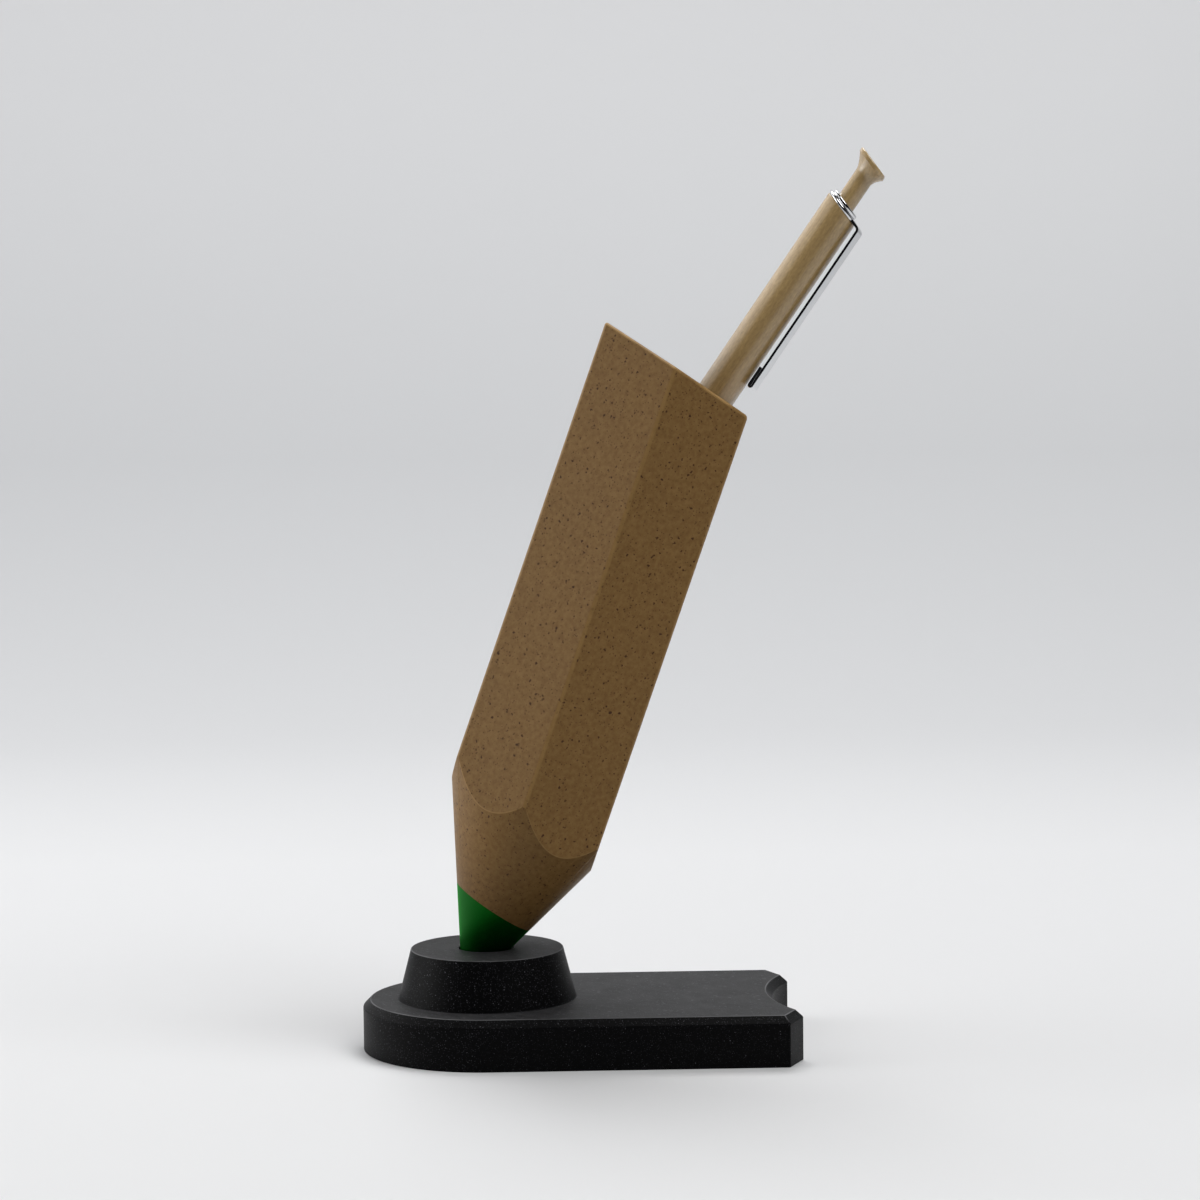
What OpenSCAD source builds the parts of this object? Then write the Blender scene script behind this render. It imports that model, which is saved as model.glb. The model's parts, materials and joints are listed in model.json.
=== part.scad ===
// Pencil-shaped pen holder on a bevelled base, with a click pen standing in its cup.
// Millimetres. The origin is on the table, below the middle of the socket boss. +X runs along the base
// to its hollowed end, +Z is up, and the pencil leans towards +X.

/* [Base slab] */
// Half width of the slab, also the radius of its round end
slab_r = 28.2; // [25:0.1:40]
// Thickness of the slab
slab_t = 11.4; // [8:0.1:16]
// Distance from the boss axis to the hollowed end
slab_reach = 70; // [55:0.5:110]
// Bevel along the slab's top edge
slab_bevel = 1.65; // [0.5:0.05:3]
// Length of the corner cuts along the slab
corner_x = 3.6; // [1:0.1:6]
// Length of the corner cuts across the slab
corner_y = 8; // [2:0.1:12]
// Bevel along the corner cuts' top edges
corner_bevel = 1.6; // [0.45:0.05:2.95]
// Depth of the hollow in the end of the slab
hollow_depth = 5; // [2:0.1:8]
// Bevel along the hollow's top edge
hollow_bevel = 1.55; // [0.4:0.05:2.9]

/* [Socket boss] */
// Height of the boss above the slab
boss_rise = 11.3; // [9:0.1:16]
// Radius of the boss at its top
boss_top_r = 17.25; // [13:0.05:22]
// Slope of the boss side from upright
boss_draft = 14.5; // [5:0.5:20]
// Bevel round the boss top
boss_bevel = 0.4; // [0.2:0.05:1]

/* [Pencil] */
// Lean of the pencil's long edges from upright
lean = 19.5; // [10:0.5:25]
// Tilt of the pencil's slanted sections, such as its top face
section_tilt = 34.25; // [28:0.25:38]
// Turn of the hexagon about the normal of its sections
hex_turn = -5; // [-10:0.5:10]
// Width across the flats, in a section
hex_flats = 37.8; // [34:0.1:46]
// Rounding of the six long edges
hex_edge_r = 1.6; // [0.5:0.1:3]
// Height of the top face over the pencil's point, square to the sections
pencil_h = 144.8; // [135:0.2:170]
// Half angle of the sharpened cone
cone_angle = 25.2; // [23:0.1:28]
// Bevel round the top face
rim_bevel = 0.4; // [0.2:0.05:0.8]
// Wall of the cup, in a section
cup_wall = 4; // [3:0.1:5]
// Depth of the cup below the top face
cup_depth = 94; // [90:0.5:98]
// Rounding of the cup's inner corners
cup_corner_r = 2; // [0.5:0.1:4]

/* [Coloured tip] */
// Height of the tip over the pencil's point
tip_h = 21.1; // [18:0.1:26]
// Radius of the blunt end of the tip
tip_blunt_r = 1; // [0.5:0.1:2]
// Depth of the pencil's point below the boss top
tip_sink = 11.05; // [8:0.05:12]
// Place along the base where the pencil's middle line meets the boss top
tip_offset = -1.8; // [-4:0.1:2]
// Radius of the spigot that joins the tip to the pencil
spigot_r = 4; // [2:0.1:6]
// Length of that spigot
spigot_len = 7; // [4:0.5:12]

/* [Pen barrel] */
// Lean of the pen from upright
pen_lean = 34.7; // [33:0.1:36]
// Turn of the pen about its own length, clip towards the front
pen_roll = 20; // [0:1:40]
// Radius of the barrel
barrel_r = 4.45; // [4.2:0.05:5]
// Length of the barrel up to its slanted top, on the middle line
barrel_len = 121.6; // [112:0.2:135]
// Bore of the barrel
bore_r = 3; // [2.9:0.05:3.3]
// Slope of the barrel's top, the clip plate and the button's end
top_slant = 20; // [0:1:24]
// Length of the nose cone
nose_len = 14; // [11:0.5:18]
// Radius of the nose cone's end
nose_end_r = 1.7; // [1.6:0.05:2]
// Length of the nose cone's spigot in the barrel
nose_spigot = 9; // [6:0.5:12]
// Wall of that spigot
nose_wall = 0.45; // [0.35:0.05:0.5]

/* [Clip and collar] */
// Thickness of the clip's arm
clip_t = 0.6; // [0.4:0.05:0.7]
// Thickness of the clip's plate on the barrel
plate_t = 0.8; // [0.75:0.05:1.2]
// Width of the clip
clip_w = 4.4; // [3:0.1:5]
// Space between the barrel and the clip
clip_gap = 1.6; // [1.5:0.1:3]
// Height of the clip's end over the rim of the cup
clip_rise = 5.6; // [3:0.1:15]
// Inner radius of the clip's bend
clip_bend_r = 0.7; // [0.4:0.1:1.2]
// Length of the leg that is curled back along the barrel
clip_leg = 4; // [2:0.5:8]
// Radius of the collar over the clip plate
collar_r = 3.75; // [3.4:0.05:4.2]
// Thickness of the collar
collar_t = 0.9; // [0.6:0.05:1.5]
// Length of the collar's shank in the barrel
shank_len = 6; // [5:0.5:9]

/* [Push button] */
// Radius of the button's stem
stem_r = 2.35; // [2.2:0.05:2.45]
// Length of the stem below the barrel's top
stem_sink = 5; // [4:0.5:5]
// Height of the button over the collar
button_h = 11; // [9.5:0.1:14]
// Height of the button's flare
flare_h = 4.2; // [3:0.1:5]
// Radius of the flared end
flare_r = 4.05; // [3.2:0.05:4.4]
// Thickness of the flared end's lip
flare_lip = 0.5; // [0.3:0.05:1]
// Travel of the button
press_travel = 5; // [3:0.1:5]

/* [Click mechanism] */
// Length of the guide sleeve
sleeve_len = 24; // [22:0.5:30]
// Bore of the guide sleeve
sleeve_bore_r = 2.5; // [2.46:0.01:2.6]
// Radius inside the sleeve's ribs
rib_inner_r = 2.1; // [2.05:0.01:2.2]
// Width of a rib and of a rotor spline, as an angle
rib_angle = 15; // [10:1:20]
// Number of ribs, and of rotor splines
rib_count = 4; // [3:1:4]
// Length of the plunger below the stem
plunger_len = 17.5; // [16:0.5:18]
// Length of the rotor
rotor_len = 8; // [7:0.5:10]
// Height of the saw teeth on the plunger and on the rotor
tooth_h = 0.9; // [0.5:0.1:1]
// Number of saw teeth; one click turns the rotor by one tooth
tooth_count = 8; // [8:1:10]

/* [Refill] */
// Radius of the ink tube
tube_r = 1.5; // [1.4:0.05:1.6]
// Bore of the ink tube
tube_bore_r = 0.95; // [0.8:0.05:1]
// Radius of the writing tip
point_r = 1.15; // [1:0.05:1.2]
// Length of the writing tip below the ink tube
point_len = 13.5; // [12:0.5:15]
// Length of the taper at its end
point_taper = 3; // [2:0.1:4]
// Radius of its ball
ball_r = 0.35; // [0.25:0.05:0.5]
// How far the point lies inside the nose before a click
point_inset = 2.4; // [2:0.1:3]
// Radius of the ring on the tube that the spring lifts
ear_r = 2.1; // [2:0.05:2.2]
// Wire of the return spring
wire_d = 0.4; // [0.3:0.05:0.45]
// Turns of the return spring
spring_turns = 9; // [6:1:12]

/* [Fits] */
// Gap round pieces that are glued or pressed together
fit_gap = 0.05; // [0.02:0.01:0.1]
// Running clearance of the pieces that slide in the pen
run_gap = 0.08; // [0.05:0.01:0.1]
// Gap round the tip in its socket
socket_gap = 0.3; // [0.2:0.05:0.5]
// Gap where the pen lies against the cup
rest_gap = 0.3; // [0.2:0.05:0.5]

/* [Hidden] */
$fn = 96;

wood_fill = [0.48, 0.37, 0.24];
spark_black = [0.10, 0.10, 0.11];
leaf_green = [0.08, 0.39, 0.16];
maple = [0.80, 0.68, 0.48];
chrome = [0.86, 0.87, 0.89];
brass = [0.78, 0.62, 0.30];
clear_grey = [0.72, 0.74, 0.76];
ink_blue = [0.16, 0.22, 0.52];

// Cut pieces run this far past what they cut
over = 1;
// Reach of a half space
far = 200;
// Straight steps in a rounded long edge, round the cone, round its socket and in a bend of the clip
edge_steps = 6;
cone_steps = 144;
socket_steps = 48;
arc_steps = 12;

// Base
boss_h = slab_t + boss_rise;
boss_foot_r = boss_top_r + boss_rise * tan(boss_draft);
hollow_chord = slab_r - corner_y;
hollow_r = (hollow_chord * hollow_chord + hollow_depth * hollow_depth) / (2 * hollow_depth);
corner_turn = atan2(corner_x, corner_y);

// Pencil: its sections are square to one direction and its long edges run along another, so each
// section lies a little to the left of the one below it
point_x = tip_offset - tip_sink * tan(lean);
point_z = boss_h - tip_sink;
shear = tan(section_tilt - lean);
cone_slope = tan(cone_angle);
tip_cut = tip_blunt_r / cone_slope;
tip_top_r = tip_h * cone_slope;
cup_flats = hex_flats - 2 * cup_wall;
top_x = -shear * pencil_h;

// Pen: it lies on the rim on one side and its nose end on the cup's wall on the other side
pen_off = pen_lean - section_tilt;
cup_half = cup_flats / 2 / cos(hex_turn);
pen_depth = (2 * cup_half - 2 * rest_gap - (barrel_r + nose_end_r) / cos(pen_off)) / (shear + tan(pen_off));
pen_sunk = pen_depth / cos(pen_off);
pen_end_x = top_x + cup_half - rest_gap - barrel_r / cos(pen_off) - pen_depth * tan(pen_off);
barrel_top = nose_len + barrel_len;
plate_h = plate_t / cos(top_slant);
collar_h = collar_t / cos(top_slant);
collar_top = barrel_top + plate_h + collar_h;
collar_bore_r = stem_r + run_gap;
shank_r = bore_r - fit_gap;
button_top = collar_top + button_h;
stem_low = barrel_top - stem_sink;
sleeve_top = barrel_top - shank_len - fit_gap;
sleeve_low = sleeve_top - sleeve_len;
plunger_r = rib_inner_r - run_gap;
plunger_low = stem_low - plunger_len;
pin_r = stem_r / 2;
pin_len = stem_sink / 2;
rotor_top = plunger_low - run_gap;
rotor_low = rotor_top - rotor_len;
spline_r = sleeve_bore_r - run_gap;
spline_top = rotor_top - tooth_h - 2 * run_gap;
spline_low = rotor_low + rotor_len / 3;
rib_low = spline_top - rotor_len / 6;
rib_high = stem_low - press_travel - stem_r;
tube_top = rotor_low - fit_gap;
tube_low = point_inset + point_len;
ear_low = tube_low + 3 * tube_r;
ear_t = wire_d * 2;
nose_hole_r = point_r + run_gap;
nose_bore_r = shank_r - nose_wall;
spring_seat = nose_len / 3;
spring_low = spring_seat + fit_gap;
spring_high = ear_low - fit_gap;
spring_r = (tube_r + nose_bore_r) / 2;

// Places

// The pencil's frame: its point at the origin and its sections square to Z
module in_section() {
    translate([point_x, 0, point_z])
        rotate([0, section_tilt, 0])
            children();
}

// The pen's frame: the end of its nose at the origin, its middle line along Z, its clip towards +X
module in_pen() {
    in_section()
        translate([pen_end_x, 0, pencil_h - pen_depth])
            rotate([0, pen_off, 0])
                rotate([0, 0, -pen_roll])
                    children();
}

// Shapes that repeat

// Corners of a hexagon with flats to the left and right and rounded corners
function hexagon(flats, edge_r) = [
    for (i = [0 : 5]) for (j = [0 : edge_steps])
        let (out = 30 + 60 * i + hex_turn)
        let (a = out - 30 + 60 * j / edge_steps)
        (flats / 2 - edge_r) / cos(30) * [cos(out), sin(out)] + edge_r * [cos(a), sin(a)]];

function ring(r, steps) = [for (i = [0 : steps - 1]) r * [cos(360 * i / steps), sin(360 * i / steps)]];

// Corner of an outline at height z of the pencil, moved along with the pencil's lean
function leaned(corner, z) = [corner[0] - shear * z, corner[1], z];

// Solid between two outlines with the same number of corners, leaning as the pencil does
module slanted_solid(low, z_low, high, z_high) {
    n = len(low);
    sides = [for (i = [0 : n - 1]) [i, i + n, (i + 1) % n + n, (i + 1) % n]];
    polyhedron(
        concat([for (c = low) leaned(c, z_low)], [for (c = high) leaned(c, z_high)]),
        concat(sides, [[for (i = [0 : n - 1]) i], [for (i = [n - 1 : -1 : 0]) i + n]]));
}

module tube(r_out, r_in, z_low, z_high) {
    translate([0, 0, z_low])
        difference() {
            cylinder(r = r_out, h = z_high - z_low);
            translate([0, 0, -over])
                cylinder(r = r_in, h = z_high - z_low + 2 * over);
        }
}

module rod(r, z_low, z_high) {
    translate([0, 0, z_low])
        cylinder(r = r, h = z_high - z_low);
}

// All that lies above the slanted plane through height z on the pen's middle line
module above_slant(z) {
    translate([0, 0, z])
        rotate([0, top_slant, 0])
            translate([-far / 2, -far / 2, 0])
                cube([far, far, far]);
}

// The part of a rod between two slanted planes
module slanted_disc(r, z_low, z_high) {
    difference() {
        intersection() {
            rod(r, z_low - 2 * r, z_high + 2 * r);
            above_slant(z_low);
        }
        above_slant(z_high);
    }
}

// A bar of a ring: r_in to r_out over a small angle, for ribs and splines
module ring_bar(r_in, r_out, angle, z_low, z_high) {
    translate([0, 0, z_low])
        rotate([0, 0, -angle / 2])
            rotate_extrude(angle = angle)
                translate([r_in, 0])
                    square([r_out - r_in, z_high - z_low]);
}

// V cuts that leave saw teeth round the end of a rod
module saw_cuts(r, z) {
    side = tooth_h * sqrt(2);
    for (i = [0 : tooth_count - 1])
        translate([0, 0, z])
            rotate([45, 0, i * 360 / tooth_count])
                translate([r / 3, -side / 2, -side / 2])
                    cube([r, side, side]);
}

// Base

// Half space outside one slanted corner, with the bevel that runs along its top edge
module corner_cut(side) {
    translate([slab_reach, side * hollow_chord, 0])
        rotate([0, 0, side * corner_turn])
            rotate([90, 0, 0])
                translate([0, 0, -far / 2])
                    linear_extrude(far)
                        polygon([[0, -over], [far, -over], [far, slab_t + over],
                            [-corner_bevel - over, slab_t + over], [0, slab_t - corner_bevel]]);
}

module end_hollow() {
    translate([slab_reach - hollow_depth + hollow_r, 0, 0]) {
        rod(hollow_r, -over, slab_t + over);
        translate([0, 0, slab_t - hollow_bevel])
            cylinder(r1 = hollow_r, r2 = hollow_r + hollow_bevel + over, h = hollow_bevel + over);
    }
}

module slab() {
    edge = slab_t - slab_bevel;
    top_r = slab_r - slab_bevel;
    difference() {
        union() {
            rotate_extrude()
                polygon([[0, 0], [slab_r, 0], [slab_r, edge], [top_r, slab_t], [0, slab_t]]);
            rotate([90, 0, 90])
                linear_extrude(slab_reach + over)
                    polygon([[-slab_r, 0], [slab_r, 0], [slab_r, edge], [top_r, slab_t],
                        [-top_r, slab_t], [-slab_r, edge]]);
        }
        for (side = [-1, 1])
            corner_cut(side);
        end_hollow();
    }
}

module boss() {
    shoulder_r = boss_top_r + boss_bevel * tan(boss_draft);
    rotate_extrude()
        polygon([[0, 0], [boss_foot_r, 0], [boss_foot_r, slab_t], [shoulder_r, boss_h - boss_bevel],
            [boss_top_r - boss_bevel, boss_h], [0, boss_h]]);
}

module tip_cone(gap, steps) {
    slanted_solid(ring(tip_blunt_r + gap, steps), tip_cut - gap, ring(tip_top_r + gap, steps), tip_h);
}

module base() {
    color(spark_black)
        difference() {
            union() {
                slab();
                boss();
            }
            in_section()
                tip_cone(socket_gap, socket_steps);
        }
}

// Pencil

module lead_tip() {
    color(leaf_green)
        in_section() {
            tip_cone(0, cone_steps);
            translate([-shear * tip_h, 0, 0])
                rod(spigot_r, tip_h - over, tip_h + spigot_len);
        }
}

module pencil_solid() {
    rim_low = pencil_h - rim_bevel;
    outline = hexagon(hex_flats, hex_edge_r);
    intersection() {
        union() {
            slanted_solid(outline, tip_h, outline, rim_low);
            slanted_solid(outline, rim_low, hexagon(hex_flats - 2 * rim_bevel, hex_edge_r), pencil_h);
        }
        slanted_solid(ring(tip_top_r, cone_steps), tip_h, ring(pencil_h * cone_slope, cone_steps), pencil_h);
    }
}

module holder_body() {
    inside = hexagon(cup_flats, cup_corner_r);
    color(wood_fill)
        in_section()
            difference() {
                pencil_solid();
                slanted_solid(inside, pencil_h - cup_depth, inside, pencil_h + over);
                translate([-shear * tip_h, 0, 0])
                    rod(spigot_r + fit_gap, tip_h - over, tip_h + spigot_len + fit_gap);
            }
}

// Pen casing

module pen_barrel() {
    color(maple)
        in_pen()
            difference() {
                tube(barrel_r, bore_r, nose_len, barrel_top + barrel_r);
                above_slant(barrel_top);
            }
}

module pen_nose() {
    spigot_end = nose_len + nose_spigot;
    color(chrome)
        in_pen()
            rotate_extrude()
                polygon([[nose_hole_r, 0], [nose_end_r, 0], [barrel_r, nose_len], [shank_r, nose_len],
                    [shank_r, spigot_end], [nose_bore_r, spigot_end], [nose_bore_r, spring_seat],
                    [nose_hole_r, spring_seat]]);
}

function arc(centre, r, from, to) = [
    for (i = [0 : arc_steps])
        let (a = from + (to - from) * i / arc_steps)
        centre + r * [cos(a), sin(a)]];

// Side view of the clip: a tongue that starts in the plate, a bend, the arm, and an end curled in to a
// short leg along the barrel
module clip_profile() {
    arm_x = barrel_r + clip_gap;
    bend_x = arm_x - clip_bend_r;
    root_z = barrel_top + (plate_t - clip_t) / 2 / cos(top_slant);
    bend_z = root_z - bend_x * tan(top_slant) - clip_bend_r / cos(top_slant);
    bend = [bend_x, bend_z];
    curl_r = (clip_gap - clip_t - fit_gap) / 2;
    curl = [arm_x - curl_r, pen_sunk + clip_rise + curl_r + clip_t];
    leg_x = barrel_r + fit_gap;
    leg_top = curl[1] + clip_leg;
    start = [stem_r, root_z - stem_r * tan(top_slant)];
    start_top = start + clip_t * [sin(top_slant), cos(top_slant)];
    polygon(concat(
        [start_top], arc(bend, clip_bend_r + clip_t, 90 - top_slant, 0), arc(curl, curl_r + clip_t, 0, -180),
        [[leg_x, leg_top], [leg_x + clip_t, leg_top]],
        arc(curl, curl_r, -180, 0), arc(bend, clip_bend_r, 0, 90 - top_slant), [start]));
}

module pen_clip() {
    color(chrome)
        in_pen()
            difference() {
                union() {
                    slanted_disc(barrel_r, barrel_top, barrel_top + plate_h);
                    rotate([90, 0, 0])
                        translate([0, 0, -clip_w / 2])
                            linear_extrude(clip_w)
                                clip_profile();
                }
                rod(bore_r, barrel_top - barrel_r, collar_top + barrel_r);
            }
}

module pen_collar() {
    plate_top = barrel_top + plate_h;
    color(chrome)
        in_pen()
            difference() {
                union() {
                    slanted_disc(collar_r, plate_top, collar_top);
                    rod(shank_r, barrel_top - shank_len, plate_top);
                }
                above_slant(collar_top);
                rod(collar_bore_r, barrel_top - shank_len - over, collar_top + barrel_r);
            }
}

// Push button

// Height over the flare's foot of a point on its hollow curve, t from 0 at the stem to 1 at the end
function flare_point(t) =
    [stem_r + (flare_r - stem_r) * (1 - cos(90 * t)), (flare_h - flare_lip) * sin(90 * t)];

module push_button() {
    steps = 10;
    flare_low = button_top - flare_h;
    color(maple)
        in_pen() {
            difference() {
                rod(stem_r, stem_low, flare_low);
                rod(pin_r + fit_gap, stem_low - over, stem_low + pin_len + fit_gap);
            }
            difference() {
                multmatrix([[1, 0, 0, 0], [0, 1, 0, 0], [-tan(top_slant), 0, 1, flare_low], [0, 0, 0, 1]])
                    rotate_extrude($fn = 64)
                        polygon(concat([[0, -stem_r]], [[stem_r, -stem_r]],
                            [for (i = [0 : steps]) flare_point(i / steps)],
                            [[flare_r, flare_h], [0, flare_h]]));
                rod(pin_r + fit_gap, stem_low - over, stem_low + pin_len + fit_gap);
            }
        }
}

// Click mechanism

module click_sleeve() {
    color(clear_grey)
        in_pen() {
            tube(shank_r, sleeve_bore_r, sleeve_low, sleeve_top);
            for (i = [0 : rib_count - 1])
                rotate([0, 0, i * 360 / rib_count])
                    ring_bar(rib_inner_r, sleeve_bore_r + fit_gap, rib_angle, rib_low, rib_high);
        }
}

module click_plunger() {
    color(clear_grey)
        in_pen()
            difference() {
                union() {
                    rod(plunger_r, plunger_low, stem_low);
                    rod(pin_r, stem_low - over, stem_low + pin_len);
                }
                saw_cuts(plunger_r, plunger_low);
            }
}

module click_rotor() {
    start = (360 / rib_count - 360 / tooth_count) / 2;
    color(clear_grey)
        in_pen() {
            difference() {
                rod(plunger_r, rotor_low, rotor_top);
                saw_cuts(plunger_r, rotor_top);
            }
            for (i = [0 : rib_count - 1])
                rotate([0, 0, start + i * 360 / rib_count])
                    ring_bar(plunger_r - fit_gap, spline_r, rib_angle, spline_low, spline_top);
        }
}

module refill_tube() {
    color(ink_blue)
        in_pen() {
            tube(tube_r, tube_bore_r, tube_low, tube_top);
            tube(ear_r, tube_bore_r, ear_low, ear_low + ear_t);
        }
}

module refill_point() {
    cone_top = point_inset + point_taper;
    plug_r = tube_bore_r - fit_gap;
    color(brass)
        in_pen()
            rotate_extrude()
                polygon([[0, point_inset], [ball_r, point_inset], [point_r, cone_top], [point_r, tube_low],
                    [plug_r, tube_low], [plug_r, ear_low], [0, ear_low]]);
}

// Corner k of the wire's ring at angle a of the coil
function coil_corner(a, k, sides) =
    let (rise = (spring_high - spring_low - wire_d) / (spring_turns * 360))
    let (w = 360 * k / sides)
    let (r = spring_r + wire_d / 2 * cos(w))
    [r * cos(a), r * sin(a), spring_low + wire_d / 2 + a * rise + wire_d / 2 * sin(w)];

module return_spring() {
    sides = 6;
    step = 20;
    rings = spring_turns * 360 / step;
    points = [for (i = [0 : rings]) for (k = [0 : sides - 1]) coil_corner(i * step, k, sides)];
    skin = [for (i = [0 : rings - 1]) for (k = [0 : sides - 1])
        [i * sides + k, (i + 1) * sides + k, (i + 1) * sides + (k + 1) % sides, i * sides + (k + 1) % sides]];
    low_end = [for (k = [0 : sides - 1]) k];
    high_end = [for (k = [sides - 1 : -1 : 0]) rings * sides + k];
    color(chrome)
        in_pen()
            polyhedron(points, concat(skin, [low_end, high_end]));
}

base();
lead_tip();
holder_body();
pen_barrel();
pen_nose();
pen_clip();
pen_collar();
push_button();
click_sleeve();
click_plunger();
click_rotor();
refill_tube();
refill_point();
return_spring();
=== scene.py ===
"""Looks, light and camera of a pencil-shaped pen holder with a click pen in its cup."""

import json
import logging
import math
from contextlib import contextmanager
from dataclasses import dataclass, field
from enum import Enum
from typing import Any, Callable, Iterator, Sequence

import bmesh
import bpy
from mathutils import Matrix, Vector

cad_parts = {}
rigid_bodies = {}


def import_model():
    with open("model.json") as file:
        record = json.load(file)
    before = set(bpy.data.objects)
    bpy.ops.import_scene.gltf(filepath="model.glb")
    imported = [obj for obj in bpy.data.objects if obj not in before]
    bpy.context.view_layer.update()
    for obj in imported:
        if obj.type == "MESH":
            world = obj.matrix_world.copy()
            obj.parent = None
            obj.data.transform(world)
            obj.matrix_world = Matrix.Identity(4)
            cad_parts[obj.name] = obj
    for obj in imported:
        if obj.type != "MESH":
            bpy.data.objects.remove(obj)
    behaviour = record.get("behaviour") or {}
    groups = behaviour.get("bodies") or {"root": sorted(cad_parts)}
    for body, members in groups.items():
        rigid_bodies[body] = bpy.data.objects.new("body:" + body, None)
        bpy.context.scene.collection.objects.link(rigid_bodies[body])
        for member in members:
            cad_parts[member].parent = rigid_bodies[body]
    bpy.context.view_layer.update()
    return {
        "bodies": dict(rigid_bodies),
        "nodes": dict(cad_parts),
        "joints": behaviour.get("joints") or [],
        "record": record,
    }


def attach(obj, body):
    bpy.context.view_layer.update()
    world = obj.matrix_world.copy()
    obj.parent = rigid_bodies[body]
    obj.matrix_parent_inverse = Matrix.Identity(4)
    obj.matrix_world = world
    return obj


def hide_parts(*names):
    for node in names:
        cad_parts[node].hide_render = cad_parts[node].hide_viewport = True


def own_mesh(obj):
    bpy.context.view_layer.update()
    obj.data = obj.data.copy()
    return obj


LOG = logging.getLogger("pen_holder")
MM = 0.001
NEAR = 1e-3
UP = 0.99
HEX_HALF = math.radians(30)
Point = tuple[float, float]
Place = tuple[float, float, float]
Colour = tuple[float, float, float]
Piece = bpy.types.Object
Socket = bpy.types.NodeSocket


class Kind(Enum):
    """What a selection in edit mode is made of."""
    VERT = "verts"
    EDGE = "edges"
    FACE = "faces"


class Cut(Enum):
    """What a Boolean does with its tool."""
    KEEP_SHARED = "INTERSECT"
    TAKE_AWAY = "DIFFERENCE"
    ADD = "UNION"


class Mark(Enum):
    """Attributes of a mesh that its finish reads."""
    # Pale edges: scuffing and painted highlight.
    WORN = "worn"
    # Painted shade inside the clip's curl.
    SHUT = "shut"


class Body(Enum):
    """Bodies that the new pieces move with."""
    HOLDER = "holder"
    PEN = "pen"
    BUTTON = "button"


class Slot(Enum):
    """Material slots of the record."""
    BASE = "base_black"
    TIP = "tip_green"
    BODY = "body_brown"
    WOOD = "pen_wood"
    CHROME = "pen_chrome"
    PLASTIC = "inner_plastic"
    INK = "ink_tube"
    BRASS = "point_brass"
    STEEL = "spring_steel"


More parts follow.
